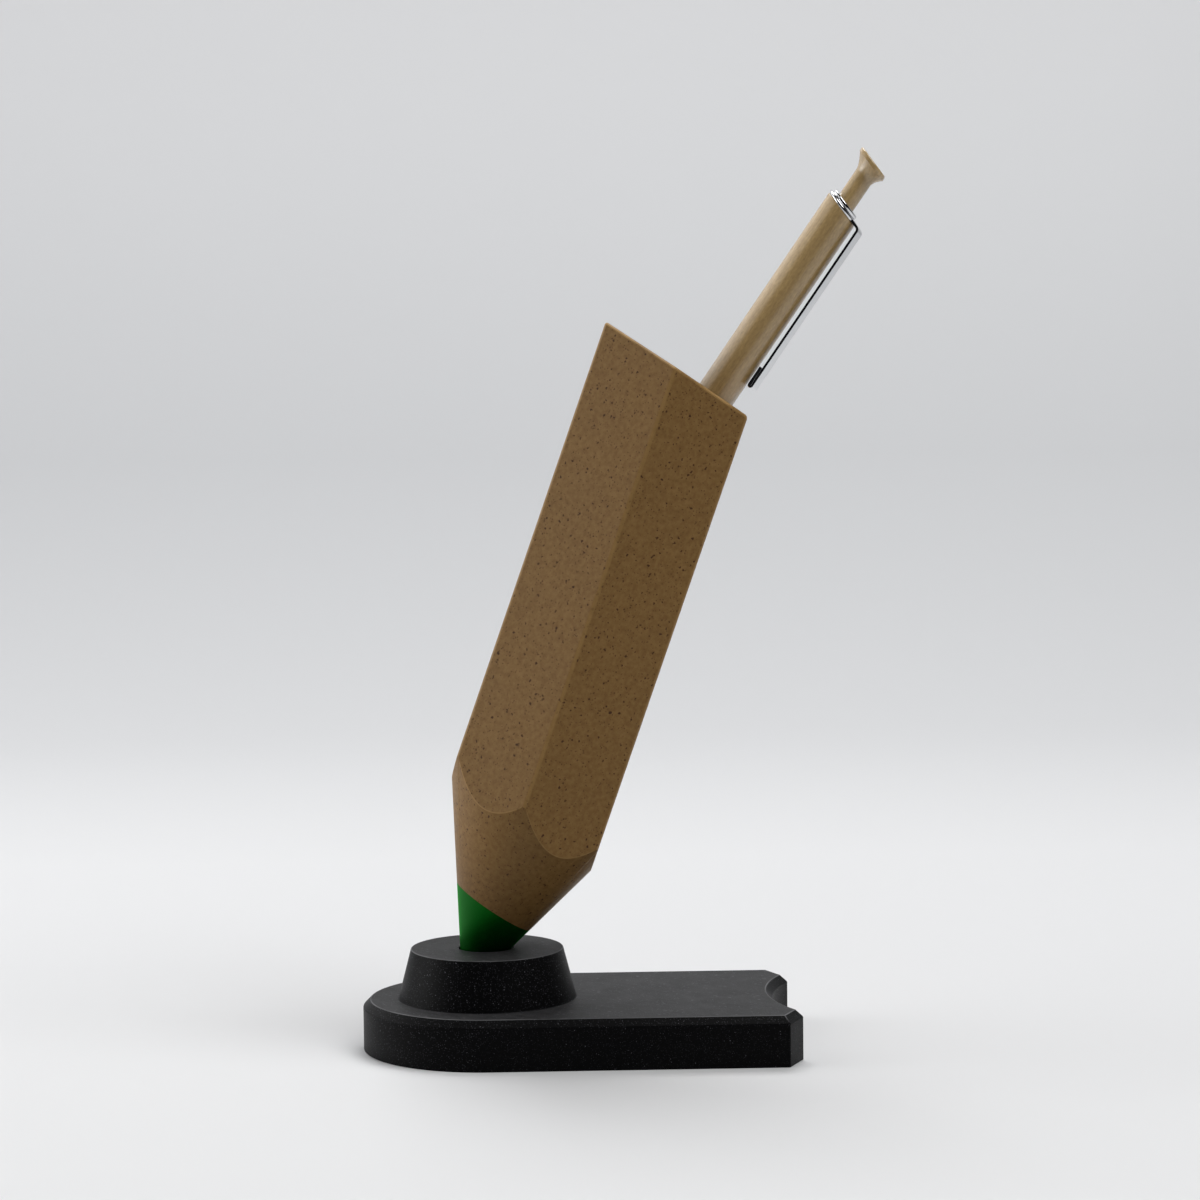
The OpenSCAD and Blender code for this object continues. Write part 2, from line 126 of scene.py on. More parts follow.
class Bench:
    """Modelling moves with Blender's own operators, on one piece at a time."""
    TURN_STEPS = 96
    SMOOTH_DEG = 30.0
    MERGE = 1e-4
    SLIVER = 1e-5

    @staticmethod
    def clear() -> None:
        """Leaves edit mode and deselects everything."""
        if bpy.context.mode != "OBJECT":
            bpy.ops.object.mode_set(mode="OBJECT")
        bpy.ops.object.select_all(action="DESELECT")

    @staticmethod
    def focus(obj: Piece) -> None:
        """Makes one object the only selected and active one.

        Args:
            obj: The object.
        """
        Bench.clear()
        obj.select_set(True)
        bpy.context.view_layer.objects.active = obj

    @staticmethod
    def take(name: str) -> Piece:
        """Names the primitive that was just added and moves its place into its mesh.

        Args:
            name: Name of the new piece.

        Returns:
            The new object, at the origin.
        """
        obj = bpy.context.active_object
        obj.name = name
        obj.data.name = name
        Bench.focus(obj)
        bpy.ops.object.transform_apply(location=True, rotation=True, scale=True)
        return obj

    @staticmethod
    @contextmanager
    def editing(obj: Piece) -> Iterator[None]:
        """Opens edit mode with nothing selected and closes it again.

        Args:
            obj: Object to edit.

        Returns:
            A context in which mesh operators act on the object.
        """
        Bench.focus(obj)
        bpy.ops.object.mode_set(mode="EDIT")
        bpy.ops.mesh.select_mode(type=Kind.VERT.name)
        bpy.ops.mesh.select_all(action="DESELECT")
        yield
        bpy.ops.object.mode_set(mode="OBJECT")

    @staticmethod
    def pick(obj: Piece, kind: Kind, test: Callable[[Any], bool]) -> None:
        """Selects parts of the mesh in edit mode by a test.

        Args:
            obj: Object in edit mode.
            kind: Which elements to go through.
            test: Says whether an element is wanted.
        """
        bpy.ops.mesh.select_mode(type=kind.name)
        bpy.ops.mesh.select_all(action="DESELECT")
        mesh = bmesh.from_edit_mesh(obj.data)
        mesh.normal_update()
        for part in [part for part in getattr(mesh, kind.value) if test(part)]:
            part.select_set(True)
        bmesh.update_edit_mesh(obj.data)

    @staticmethod
    def pick_all() -> None:
        """Selects all of the mesh in edit mode."""
        bpy.ops.mesh.select_all(action="SELECT")

    @staticmethod
    def turn_outwards() -> None:
        """Turns all faces of the mesh in edit mode outwards."""
        Bench.pick_all()
        bpy.ops.mesh.normals_make_consistent(inside=False)

    @staticmethod
    def extrude(x: float = 0.0, y: float = 0.0, z: float = 0.0) -> None:
        """Extrudes what is selected in edit mode and moves it."""
        bpy.ops.mesh.extrude_region_move(TRANSFORM_OT_translate={"value": (x, y, z)})

    @staticmethod
    def bevel(width: float, segments: int) -> None:
        """Bevels the edges that are selected in edit mode."""
        bpy.ops.mesh.bevel(offset=width, segments=segments, affect="EDGES", clamp_overlap=False)

    @staticmethod
    def modify(obj: Piece, kind: str, **settings: Any) -> None:
        """Adds a modifier and applies it.

        Args:
            obj: Object to change.
            kind: Blender's name of the modifier.
            settings: Values of the modifier.
        """
        Bench.focus(obj)
        step = obj.modifiers.new(kind.lower(), kind)
        for key, value in settings.items():
            setattr(step, key, value)
        bpy.ops.object.modifier_apply(modifier=step.name)

    @staticmethod
    def combine(obj: Piece, tool: Piece, cut: Cut) -> None:
        """Cuts or joins a piece with a tool, which is used up."""
        Bench.modify(obj, "BOOLEAN", object=tool, operation=cut.value, solver="EXACT")
        bpy.data.objects.remove(tool, do_unlink=True)

    @staticmethod
    def cone(name: str, sides: int, radii: Point, low: float, high: float) -> Piece:
        """Adds a blunt cone about Z.

        Args:
            name: Name of the new piece.
            sides: Number of its sides.
            radii: Radius of its lower and of its upper end.
            low: Height of its lower end.
            high: Height of its upper end.

        Returns:
            The cone.
        """
        Bench.clear()
        bpy.ops.mesh.primitive_cone_add(vertices=sides, radius1=radii[0], radius2=radii[1],
                                        depth=high - low, location=(0, 0, (high + low) / 2))
        return Bench.take(name)

    @staticmethod
    def chain(name: str, points: Sequence[Vector]) -> Piece:
        """Draws a chain of edges by extruding one corner from point to point.

        Args:
            name: Name of the new piece.
            points: Places along the chain.

        Returns:
            An object with the chain of edges.
        """
        Bench.clear()
        bpy.ops.mesh.primitive_plane_add(size=1.0)
        obj = Bench.take(name)
        with Bench.editing(obj):
            Bench.pick(obj, Kind.VERT, lambda v: v.index > 0)
            bpy.ops.mesh.delete(type="VERT")
            Bench.pick_all()
            bmesh.from_edit_mesh(obj.data).verts.ensure_lookup_table()
            here = bmesh.from_edit_mesh(obj.data).verts[0].co.copy()
            bpy.ops.transform.translate(value=points[0] - here)
            for last, place in zip(points, points[1:]):
                Bench.extrude(*(place - last))
        return obj

    @staticmethod
    def lathe(name: str, outline: Sequence[Point]) -> Piece:
        """Turns an outline about Z.

        Args:
            name: Name of the new piece.
            outline: Radius and height of each corner; a ring's outline comes back to its start.

        Returns:
            A closed turned solid.
        """
        obj = Bench.chain(name, [Vector((r, 0.0, z)) for r, z in outline])
        with Bench.editing(obj):
            Bench.pick_all()
            bpy.ops.mesh.spin(steps=Bench.TURN_STEPS, angle=math.tau, center=(0, 0, 0), axis=(0, 0, 1))
        Bench.close(obj)
        return obj

    @staticmethod
    def close(obj: Piece) -> None:
        """Merges corners that meet and turns the faces outwards.

        Args:
            obj: Piece to close.
        """
        with Bench.editing(obj):
            Bench.pick_all()
            bpy.ops.mesh.remove_doubles(threshold=Bench.MERGE)
            bpy.ops.mesh.dissolve_degenerate(threshold=Bench.SLIVER)
            Bench.turn_outwards()

    @staticmethod
    def smooth(obj: Piece, smooth_deg: float = SMOOTH_DEG) -> None:
        """Shades edges smooth that are flatter than an angle."""
        Bench.focus(obj)
        bpy.ops.object.shade_smooth_by_angle(angle=math.radians(smooth_deg))

    @staticmethod
    def place(obj: Piece, frame: Matrix, smooth_deg: float = SMOOTH_DEG) -> None:
        """Puts a piece in its place in metres and smooths its shading.

        Args:
            obj: Piece modelled in millimetres.
            frame: Place of the piece's own frame, in millimetres.
            smooth_deg: Edges flatter than this are shaded smooth.
        """
        obj.data.transform(Matrix.Scale(MM, 4) @ frame)
        obj.data.update()
        Bench.smooth(obj, smooth_deg)
        Bench.modify(obj, "WEIGHTED_NORMAL", mode="FACE_AREA_WITH_ANGLE", weight=80, keep_sharp=True)


@dataclass(frozen=True)
class Lean:
    """Frame of the leaning pencil: its point at the origin, its sections square to Z."""
    point: Place = (-5.713, 0.0, 11.65)
    section_tilt: float = 34.25
    lean: float = 19.5

    @property
    def upright(self) -> Matrix:
        """Frame with the sections' tilt only."""
        return Matrix.Translation(self.point) @ Matrix.Rotation(math.radians(self.section_tilt), 4, "Y")

    @property
    def frame(self) -> Matrix:
        """Frame in which each section lies a little to the left of the one below it.

        Returns:
            The frame, in millimetres.
        """
        slide = Matrix.Identity(4)
        slide[0][2] = -math.tan(math.radians(self.section_tilt - self.lean))
        return self.upright @ slide


@dataclass(frozen=True)
class PenStand:
    """Frame of the pen: the end of its nose at the origin, its length along Z, its clip towards +X."""
    end: Place = (4.0694, 0.0, 76.811)
    lean: float = 34.7
    roll: float = 20.0
    slant: float = 20.0

    @property
    def frame(self) -> Matrix:
        """Place of the pen's own frame."""
        lean = Matrix.Rotation(math.radians(self.lean), 4, "Y")
        return Matrix.Translation(self.end) @ lean @ Matrix.Rotation(math.radians(-self.roll), 4, "Z")

    def slope(self, obj: Piece, above: float) -> None:
        """Slants all of a piece that lies above a height, as the pen's upper end is.

        Args:
            obj: Piece in the pen's frame.
            above: Height from which corners are moved.
        """
        fall = math.tan(math.radians(self.slant))
        for corner in obj.data.vertices:
            if corner.co.z > above:
                corner.co.z -= corner.co.x * fall
        obj.data.update()


class Nodes:
    """Short hand for a node tree, whose nodes are laid out in rows."""
    ROW = 12
    ACROSS = 180
    DOWN = 260

    def __init__(self, tree: bpy.types.NodeTree) -> None:
        """Keeps the tree."""
        self.tree = tree

    @classmethod
    def of(cls, owner: bpy.types.Material | bpy.types.World) -> "Nodes":
        """Switches the nodes of a material or world on and opens them."""
        owner.use_nodes = True
        return cls(owner.node_tree)

    def first(self, kind: str) -> bpy.types.Node:
        """The first node of a kind that the tree already has."""
        return next(node for node in self.tree.nodes if node.type == kind)

    def feed(self, target: Socket, value: Any) -> None:
        """Links a source socket to an input, or sets the input's own value.

        Args:
            target: Input to fill.
            value: Source socket, number, vector or colour.
        """
        if isinstance(value, Socket):
            self.tree.links.new(value, target)
        else:
            target.default_value = (*value, 1.0) if target.type == "RGBA" else value

    def add(self, kind: str, inputs: dict[Any, Any] | None = None, **settings: Any) -> bpy.types.Node:
        """Adds a node with its settings and inputs.

        Args:
            kind: Blender's name of the node, without its ShaderNode prefix.
            inputs: Value or source socket of each input, by name or number.
            settings: Other settings of the node.

        Returns:
            The new node.
        """
        row, column = divmod(len(self.tree.nodes), self.ROW)
        node = self.tree.nodes.new(kind if kind.startswith("Node") else "ShaderNode" + kind)
        node.location = (self.ACROSS * column, -self.DOWN * row)
        for key, value in settings.items():
            setattr(node, key, value)
        for key, value in (inputs or {}).items():
            self.feed(node.inputs[key], value)
        return node

    def math(self, how: str, a: Any, b: Any, clamp: bool = False) -> Socket:
        """Works out one of Blender's sums of two values."""
        return self.add("Math", {0: a, 1: b}, operation=how, use_clamp=clamp).outputs[0]

    def times(self, a: Any, b: Any) -> Socket:
        """Multiplies two values."""
        return self.math("MULTIPLY", a, b)

    def plus(self, a: Any, b: Any, clamp: bool = False) -> Socket:
        """Adds two values up."""
        return self.math("ADD", a, b, clamp)

    def rest(self, value: Any) -> Socket:
        """What a value leaves of 1."""
        return self.math("SUBTRACT", 1.0, value)

    def vector(self, how: str, a: Any, b: Any) -> Socket:
        """Adds a sum of two vectors, axis by axis."""
        return self.add("VectorMath", {0: a, 1: b}, operation=how).outputs[0]

    def axes(self, vector: Socket) -> Any:
        """Takes a vector apart into its three sockets."""
        return self.add("SeparateXYZ", {0: vector}).outputs

    def ramp(self, value: Any, low: Any, high: Any, start: Any = 0.0, end: Any = 1.0) -> Socket:
        """Maps low to start and high to end, with nothing beyond them."""
        return self.add("MapRange", {0: value, 1: low, 2: high, 3: start, 4: end}).outputs[0]

    def spread(self, value: Socket, start: float, end: float) -> Socket:
        """Maps a value from 0 to 1 to another range."""
        return self.ramp(value, 0.0, 1.0, start, end)

    def mix(self, share: Any, a: Any, b: Any) -> Socket:
        """Mixes two colours by the share of the second one."""
        return self.add("Mix", {0: share, 6: a, 7: b}, data_type="RGBA", blend_type="MIX").outputs[2]


class Effects:
    """Shader node groups that several finishes share."""

    def __init__(self) -> None:
        """Builds every group once."""
        self.flecks = self._flecks()
        self.layers = self._layers()
        self.clouds = self._clouds()
        self.grain = self._grain()

    @staticmethod
    def _group(name: str, inputs: dict[str, float], outputs: Sequence[str]) -> tuple[Nodes, Any, Any]:
        """Starts a group that follows a vector.

        Args:
            name: Name of the group.
            inputs: Default of each number that it takes.
            outputs: Names of the values that it puts out.

        Returns:
            The group's nodes, the sockets that it takes from and the sockets that it gives to.
        """
        tree = bpy.data.node_groups.new(name, "ShaderNodeTree")
        tree.interface.new_socket("Vector", in_out="INPUT", socket_type="NodeSocketVector")
        for key, value in inputs.items():
            socket = tree.interface.new_socket(key, in_out="INPUT", socket_type="NodeSocketFloat")
            socket.default_value = value
        for key in outputs:
            tree.interface.new_socket(key, in_out="OUTPUT", socket_type="NodeSocketFloat")
        nodes = Nodes(tree)
        return nodes, nodes.add("NodeGroupInput").outputs, nodes.add("NodeGroupOutput").inputs

    def _flecks(self) -> bpy.types.NodeTree:
        """Small uneven flecks, of several sizes, in some of the cells of a random pattern.

        Returns:
            The group.
        """
        smallest, core, unevenness, fineness = 0.45, 0.55, 0.7, 1.7
        nodes, take, give = self._group("flecks", {"Scale": 1000.0, "Size": 0.3, "Share": 0.3}, ["Mask"])
        noise = nodes.add("TexNoise", {"Vector": take["Vector"], "Detail": 1.0,
                                       "Scale": nodes.times(take["Scale"], fineness)})
        about = nodes.vector("SUBTRACT", noise.outputs["Color"], (0.5, 0.5, 0.5))
        reach = nodes.math("DIVIDE", unevenness, take["Scale"])
        push = nodes.add("VectorMath", {0: about, "Scale": reach}, operation="SCALE").outputs[0]
        cells = nodes.add("TexVoronoi", {"Vector": nodes.vector("ADD", take["Vector"], push),
                                         "Scale": take["Scale"]}).outputs
        chance = nodes.add("SeparateColor", {"Color": cells["Color"]}).outputs
        there = nodes.math("LESS_THAN", chance[0], take["Share"])
        own = nodes.times(take["Size"], nodes.spread(chance[1], smallest, 1.0))
        soft = nodes.ramp(cells["Distance"], nodes.times(own, core), own, 1.0, 0.0)
        nodes.feed(give["Mask"], nodes.times(soft, there))
        return nodes.tree

    def _layers(self) -> bpy.types.NodeTree:
        """Rounded lines of a printed surface, one above the other along the vector's Z.

        Returns:
            The group.
        """
        nodes, take, give = self._group("print_lines", {"Pitch": 0.0002, "Waver": 0.15}, ["Height"])
        wander = nodes.add("TexNoise", {"Vector": take["Vector"], "Scale": 220.0, "Detail": 2.0})
        shift = nodes.times(wander.outputs[0], take["Waver"])
        turns = nodes.plus(nodes.math("DIVIDE", nodes.axes(take["Vector"])[2], take["Pitch"]), shift)
        wave = nodes.math("SINE", nodes.times(nodes.math("FRACT", turns, 0.0), math.pi), 0.0)
        nodes.feed(give["Height"], wave)
        return nodes.tree

    def _clouds(self) -> bpy.types.NodeTree:
        """Soft uneven patches, from 0 to 1, with most of the surface near the middle.

        Returns:
            The group.
        """
        nodes, take, give = self._group("clouds", {"Scale": 60.0, "Contrast": 1.0}, ["Value"])
        noise = nodes.add("TexNoise", {"Vector": take["Vector"], "Scale": take["Scale"],
                                       "Detail": 4.0, "Roughness": 0.55})
        about = nodes.times(nodes.math("SUBTRACT", noise.outputs[0], 0.5), take["Contrast"])
        nodes.feed(give["Value"], nodes.plus(about, 0.5, clamp=True))
        return nodes.tree

    def _grain(self) -> bpy.types.NodeTree:
        """Wood grain along the vector's Z: broad bands, fine streaks and short pores.

        Returns:
            The group.
        """
        nodes, take, give = self._group("wood_grain", {"Scale": 600.0}, ["Bands", "Streaks", "Pores"])
        band_scale, streak_scale, pore_scale = 0.45, 2.6, 3.0
        band_squeeze, streak_squeeze = 0.035, 0.12
        long = nodes.vector("MULTIPLY", take["Vector"], (1.0, 1.0, band_squeeze))
        short = nodes.vector("MULTIPLY", take["Vector"], (1.0, 1.0, streak_squeeze))
        bands = nodes.add("TexNoise", {"Vector": long, "Detail": 3.0,
                                       "Scale": nodes.times(take["Scale"], band_scale)})
        streaks = nodes.add("TexNoise", {"Vector": short, "Detail": 5.0, "Roughness": 0.65,
                                         "Scale": nodes.times(take["Scale"], streak_scale)})
        pores = nodes.add("TexVoronoi", {"Vector": short, "Scale": nodes.times(take["Scale"], pore_scale)})
        nodes.feed(give["Bands"], nodes.ramp(bands.outputs[0], 0.35, 0.65))
        nodes.feed(give["Streaks"], nodes.ramp(streaks.outputs[0], 0.35, 0.68))
        nodes.feed(give["Pores"], nodes.ramp(pores.outputs["Distance"], 0.12, 0.3, 1.0, 0.0))
        return nodes.tree


class Brush(Nodes):
    """Nodes of one material: its shader, the place on the piece and the shared effects."""

    def __init__(self, material: bpy.types.Material, effects: Effects, frame: Matrix) -> None:
        """Opens a new material.

        Args:
            material: The material.
            effects: Shared node groups.
            frame: Frame that the pattern follows, in millimetres.
        """
        material.use_nodes = True
        super().__init__(material.node_tree)
        self.shader = self.first("BSDF_PRINCIPLED")
        self.effects = effects
        place, turn, _ = frame.decompose()
        where = self.add("TexCoord").outputs["Object"]
        follow = {"Vector": where, "Location": place * MM, "Rotation": turn.to_euler()}
        self.here = self.add("Mapping", follow, vector_type="TEXTURE").outputs[0]

    def set(self, socket: str, value: Any) -> None:
        """Fills one input of the shader."""
        self.feed(self.shader.inputs[socket], value)

    def effect(self, tree: bpy.types.NodeTree, where: Socket | None, inputs: dict[str, Any]) -> Any:
        """Places a shared group, which follows the place on the piece unless told otherwise."""
        vector = self.here if where is None else where
        return self.add("Group", {"Vector": vector, **inputs}, node_tree=tree).outputs

    def clouds(self, scale: float, contrast: float, where: Socket | None = None) -> Socket:
        """Soft patches from 0 to 1."""
        return self.effect(self.effects.clouds, where, {"Scale": scale, "Contrast": contrast})["Value"]

    def flecks(self, scale: float, size: float, share: Any) -> Socket:
        """Mask of flecks, in a share of the cells."""
        return self.effect(self.effects.flecks, None, {"Scale": scale, "Size": size, "Share": share})["Mask"]

    def layers(self, pitch: float, waver: float, where: Socket | None = None) -> Socket:
        """Height of the print's lines."""
        return self.effect(self.effects.layers, where, {"Pitch": pitch, "Waver": waver})["Height"]

    def mark(self, mark: Mark) -> Socket:
        """Value of an attribute of the piece's mesh."""
        return self.add("Attribute", attribute_name=mark.value).outputs["Fac"]

    def bump(self, height: Socket, strength: float, depth: float) -> None:
        """Lets a height shape the surface's normal; a height of 1 is so deep in metres."""
        bump = self.add("Bump", {"Height": height, "Strength": strength, "Distance": depth})
        self.set("Normal", bump.outputs[0])


@dataclass(frozen=True)
class Finish:
    """A finish with its plain shader values; each kind adds its own pattern."""
    slot: Slot
    colour: Colour
    roughness: float = 0.5
    metallic: float = 0.0
    values: dict[str, float | Colour] = field(default_factory=dict)

    def make(self, effects: Effects, frame: Matrix) -> bpy.types.Material:
        """Makes the material.

        Args:
            effects: Shared node groups.
            frame: Frame that the pattern follows, in millimetres.

        Returns:
            The new material.
        """
        material = bpy.data.materials.new(self.slot.value)
        brush = Brush(material, effects, frame)
        plain = {"Base Color": self.colour, "Roughness": self.roughness, "Metallic": self.metallic}
        for socket, value in {**plain, **self.values}.items():
            brush.set(socket, value)
        self.paint(brush)
        return material

    def paint(self, brush: Brush) -> None:
        """Adds a faint unevenness of tone and gloss.

        Args:
            brush: The material's nodes.
        """
        darker, glossier, duller = 0.86, 0.85, 1.2
        cloud = brush.clouds(scale=300.0, contrast=1.2)
        dark = tuple(darker * c for c in self.colour)
        brush.set("Base Color", brush.mix(cloud, dark, self.colour))
        gloss, dull = self.roughness * glossier, min(1.0, self.roughness * duller)
        brush.set("Roughness", brush.spread(cloud, gloss, dull))


@dataclass(frozen=True)
class WoodFilledPrint(Finish):
    """Brown printed plastic with wood in it: fine dark flecks, soft patches and faint layers."""
    fleck: Colour = (0.064, 0.021, 0.0015)
    pale: Colour = (0.350, 0.196, 0.062)
    # Pale colour of the edges: scuffing and painted highlight.
    scuff_and_highlight_colour: Colour = (0.48, 0.290, 0.105)
    # Darker colour towards the point: painted shade cast by the base on the cone.
    foot_shade: Colour = (0.105, 0.050, 0.012)
    foot_shade_heights: Point = (0.020, 0.034)
    foot_shade_share: float = 0.42

    def paint(self, brush: Brush) -> None:
        """Paints patches, two sizes of flecks, painted shade near the foot and pale edges for scuffing and
        painted highlight, and lays the layers on.

        Args:
            brush: The material's nodes.
        """
        cloud = brush.clouds(scale=90.0, contrast=1.1)
        mottle = brush.clouds(scale=900.0, contrast=2.4)
        crowd = brush.clouds(scale=140.0, contrast=2.0)
        light = brush.plus(brush.spread(cloud, 0.0, 0.15), brush.ramp(mottle, 0.1, 0.9, 0.0, 0.75))
        ground = brush.mix(light, self.colour, self.pale)
        fine = brush.flecks(scale=1700.0, size=0.42, share=brush.spread(crowd, 0.25, 0.65))
        bold = brush.flecks(scale=800.0, size=0.3, share=brush.spread(crowd, 0.35, 1.0))
        dusted = brush.mix(brush.times(fine, 0.6), ground, self.fleck)
        marked = brush.mix(bold, dusted, self.fleck)
        # Painted shade: the colour darkens towards the point, where the base shades the cone.
        low = brush.ramp(brush.axes(brush.here)[2], *self.foot_shade_heights, self.foot_shade_share, 0.0)
        foot_shaded = brush.mix(low, marked, self.foot_shade)
        worn = brush.mark(Mark.WORN)
        spared = brush.times(brush.math("POWER", worn, 2.0), brush.ramp(crowd, 0.25, 0.7, 0.75, 0.1))
        # Pale edges: scuffing and painted highlight where the edges catch the light.
        brush.set("Base Color", brush.mix(brush.times(worn, brush.rest(spared)), foot_shaded, self.scuff_and_highlight_colour))
        brush.set("Roughness", brush.spread(cloud, self.roughness - 0.06, self.roughness + 0.08))
        lines = brush.layers(pitch=0.0002, waver=0.3)
        brush.bump(brush.plus(lines, brush.times(bold, 0.6)), strength=0.12, depth=0.00002)


@dataclass(frozen=True)
class SparklePrint(Finish):
    """Near-black printed plastic with glints in it, layers on its sides and print lines on its tops."""
    glint: Colour = (0.30, 0.30, 0.335)
    # Pale colour of the top edges: scuffing and painted highlight.
    scuff_and_highlight_colour: Colour = (0.15, 0.15, 0.155)
    # Paler colour of the upward faces: painted sheen of light grazing the tops, with their print raster.
    top: Colour = (0.046, 0.046, 0.0475)
    top_sheen_normal: Point = (0.74, 0.97)

    def paint(self, brush: Brush) -> None:
        """Scatters glints, gives the upward faces a paler colour and specks as painted sheen, and lays lines
        on, along the sides or across the tops.

        Args:
            brush: The material's nodes.
        """
        turn = (Matrix.Rotation(math.pi / 2, 3, "X") @ Matrix.Rotation(math.pi / 4, 3, "Z")).to_euler()
        across = brush.add("Mapping", {"Vector": brush.here, "Rotation": turn}).outputs[0]
        along = brush.vector("MULTIPLY", across, (0.3, 1.0, 1.0))
        facing = brush.axes(brush.add("NewGeometry").outputs["Normal"])
        flat = brush.ramp(facing[2], *self.top_sheen_normal)
        patch = brush.clouds(scale=120.0, contrast=1.6)
        raster = brush.clouds(scale=1000.0, contrast=3.0, where=along)
        # Upward faces turn paler and get specks: painted sheen, broken by the print raster.
        streak = brush.times(flat, brush.spread(raster, 0.5, 0.95))
        fine = brush.times(brush.flecks(scale=2900.0, size=0.42, share=0.7), 0.14)
        bold = brush.times(brush.flecks(scale=1700.0, size=0.24, share=0.32), 0.38)
        spots = brush.times(brush.times(brush.flecks(scale=720.0, size=0.32, share=0.5), flat), 0.16)
        shine = brush.plus(brush.plus(fine, bold), spots, clamp=True)
        starred = brush.mix(shine, brush.mix(streak, self.colour, self.top), self.glint)
        # Pale top edges: scuffing and painted highlight.
        edged = brush.times(brush.mark(Mark.WORN), brush.ramp(patch, 0.2, 0.75, 0.35, 1.0))
        brush.set("Base Color", brush.mix(edged, starred, self.scuff_and_highlight_colour))
        uneven = brush.plus(brush.times(patch, 0.5), brush.times(streak, 0.5))
        brush.set("Roughness", brush.spread(uneven, self.roughness - 0.06, self.roughness + 0.12))
        sides = brush.layers(pitch=0.0002, waver=0.4)
        tops = brush.layers(pitch=0.00045, waver=0.8, where=across)
        height = brush.add("Mix", {0: flat, 2: sides, 3: tops}, data_type="FLOAT").outputs[0]
        brush.bump(height, strength=0.3, depth=0.00002)


@dataclass(frozen=True)
class SatinPrint(Finish):
    """Coloured printed plastic with a satin sheen and faint layers."""
    deep: Colour = (0.0003, 0.010, 0.0016)

    def paint(self, brush: Brush) -> None:
        """Varies the depth of the colour and lays the print's layers on.

        Args:
            brush: The material's nodes.
        """
        cloud = brush.clouds(scale=160.0, contrast=1.2)
        fine = brush.flecks(scale=2000.0, size=0.4, share=0.25)
        ground = brush.mix(brush.spread(cloud, 0.0, 0.35), self.colour, self.deep)
        brush.set("Base Color", brush.mix(brush.times(fine, 0.2), ground, self.deep))
        brush.set("Roughness", brush.spread(cloud, self.roughness - 0.05, self.roughness + 0.06))
        brush.bump(brush.layers(pitch=0.0002, waver=0.3), strength=0.15, depth=0.00002)


@dataclass(frozen=True)
class TurnedWood(Finish):
    """Pale turned wood with grain along the pen."""
    streak: Colour = (0.370, 0.228, 0.085)
    pore: Colour = (0.120, 0.070, 0.030)

    def paint(self, brush: Brush) -> None:
        """Paints bands, streaks, a sandy speckle and pores.

        Args:
            brush: The material's nodes.
        """
        grain = brush.effect(brush.effects.grain, None, {"Scale": 600.0})
        short = brush.vector("MULTIPLY", brush.here, (1.0, 1.0, 0.4))
        sand = brush.clouds(scale=2300.0, contrast=3.2, where=short)
        tone = self.colour
        for mask, share in ((grain["Bands"], 0.35), (grain["Streaks"], 0.4), (sand, 0.5)):
            tone = brush.mix(brush.times(mask, share), tone, self.streak)
        brush.set("Base Color", brush.mix(brush.times(grain["Pores"], 0.18), tone, self.pore))
        brush.set("Roughness", brush.spread(grain["Streaks"], self.roughness - 0.05, self.roughness + 0.1))
        brush.bump(brush.rest(grain["Pores"]), strength=0.15, depth=0.00003)


@dataclass(frozen=True)
class PolishedMetal(Finish):
    """Plated or turned metal with hair-fine marks, and painted shade where a fold closes it in."""
    marks: float = 0.05
    shut: Colour | None = None
    curl_shade_roughness: float = 0.7

    def paint(self, brush: Brush) -> None:
        """Varies the gloss with fine marks along the piece.

        Args:
            brush: The material's nodes.
        """
        darker, squeeze = 0.93, 0.06
        long = brush.vector("MULTIPLY", brush.here, (1.0, 1.0, squeeze))
        hair = brush.clouds(scale=2400.0, contrast=1.8, where=long)
        soft = brush.clouds(scale=350.0, contrast=1.4)
        rough = brush.ramp(hair, 0.2, 0.8, self.roughness, self.roughness + self.marks)
        tone = brush.mix(soft, tuple(darker * c for c in self.colour), self.colour)
        if self.shut is not None:
            # Painted shade inside the clip's curl: dark, rough and not metallic.
            inside = brush.mark(Mark.SHUT)
            rough = brush.plus(rough, brush.times(inside, self.curl_shade_roughness), clamp=True)
            tone = brush.mix(inside, tone, self.shut)
            brush.set("Metallic", brush.rest(inside))
        brush.set("Roughness", rough)
        brush.set("Base Color", tone)


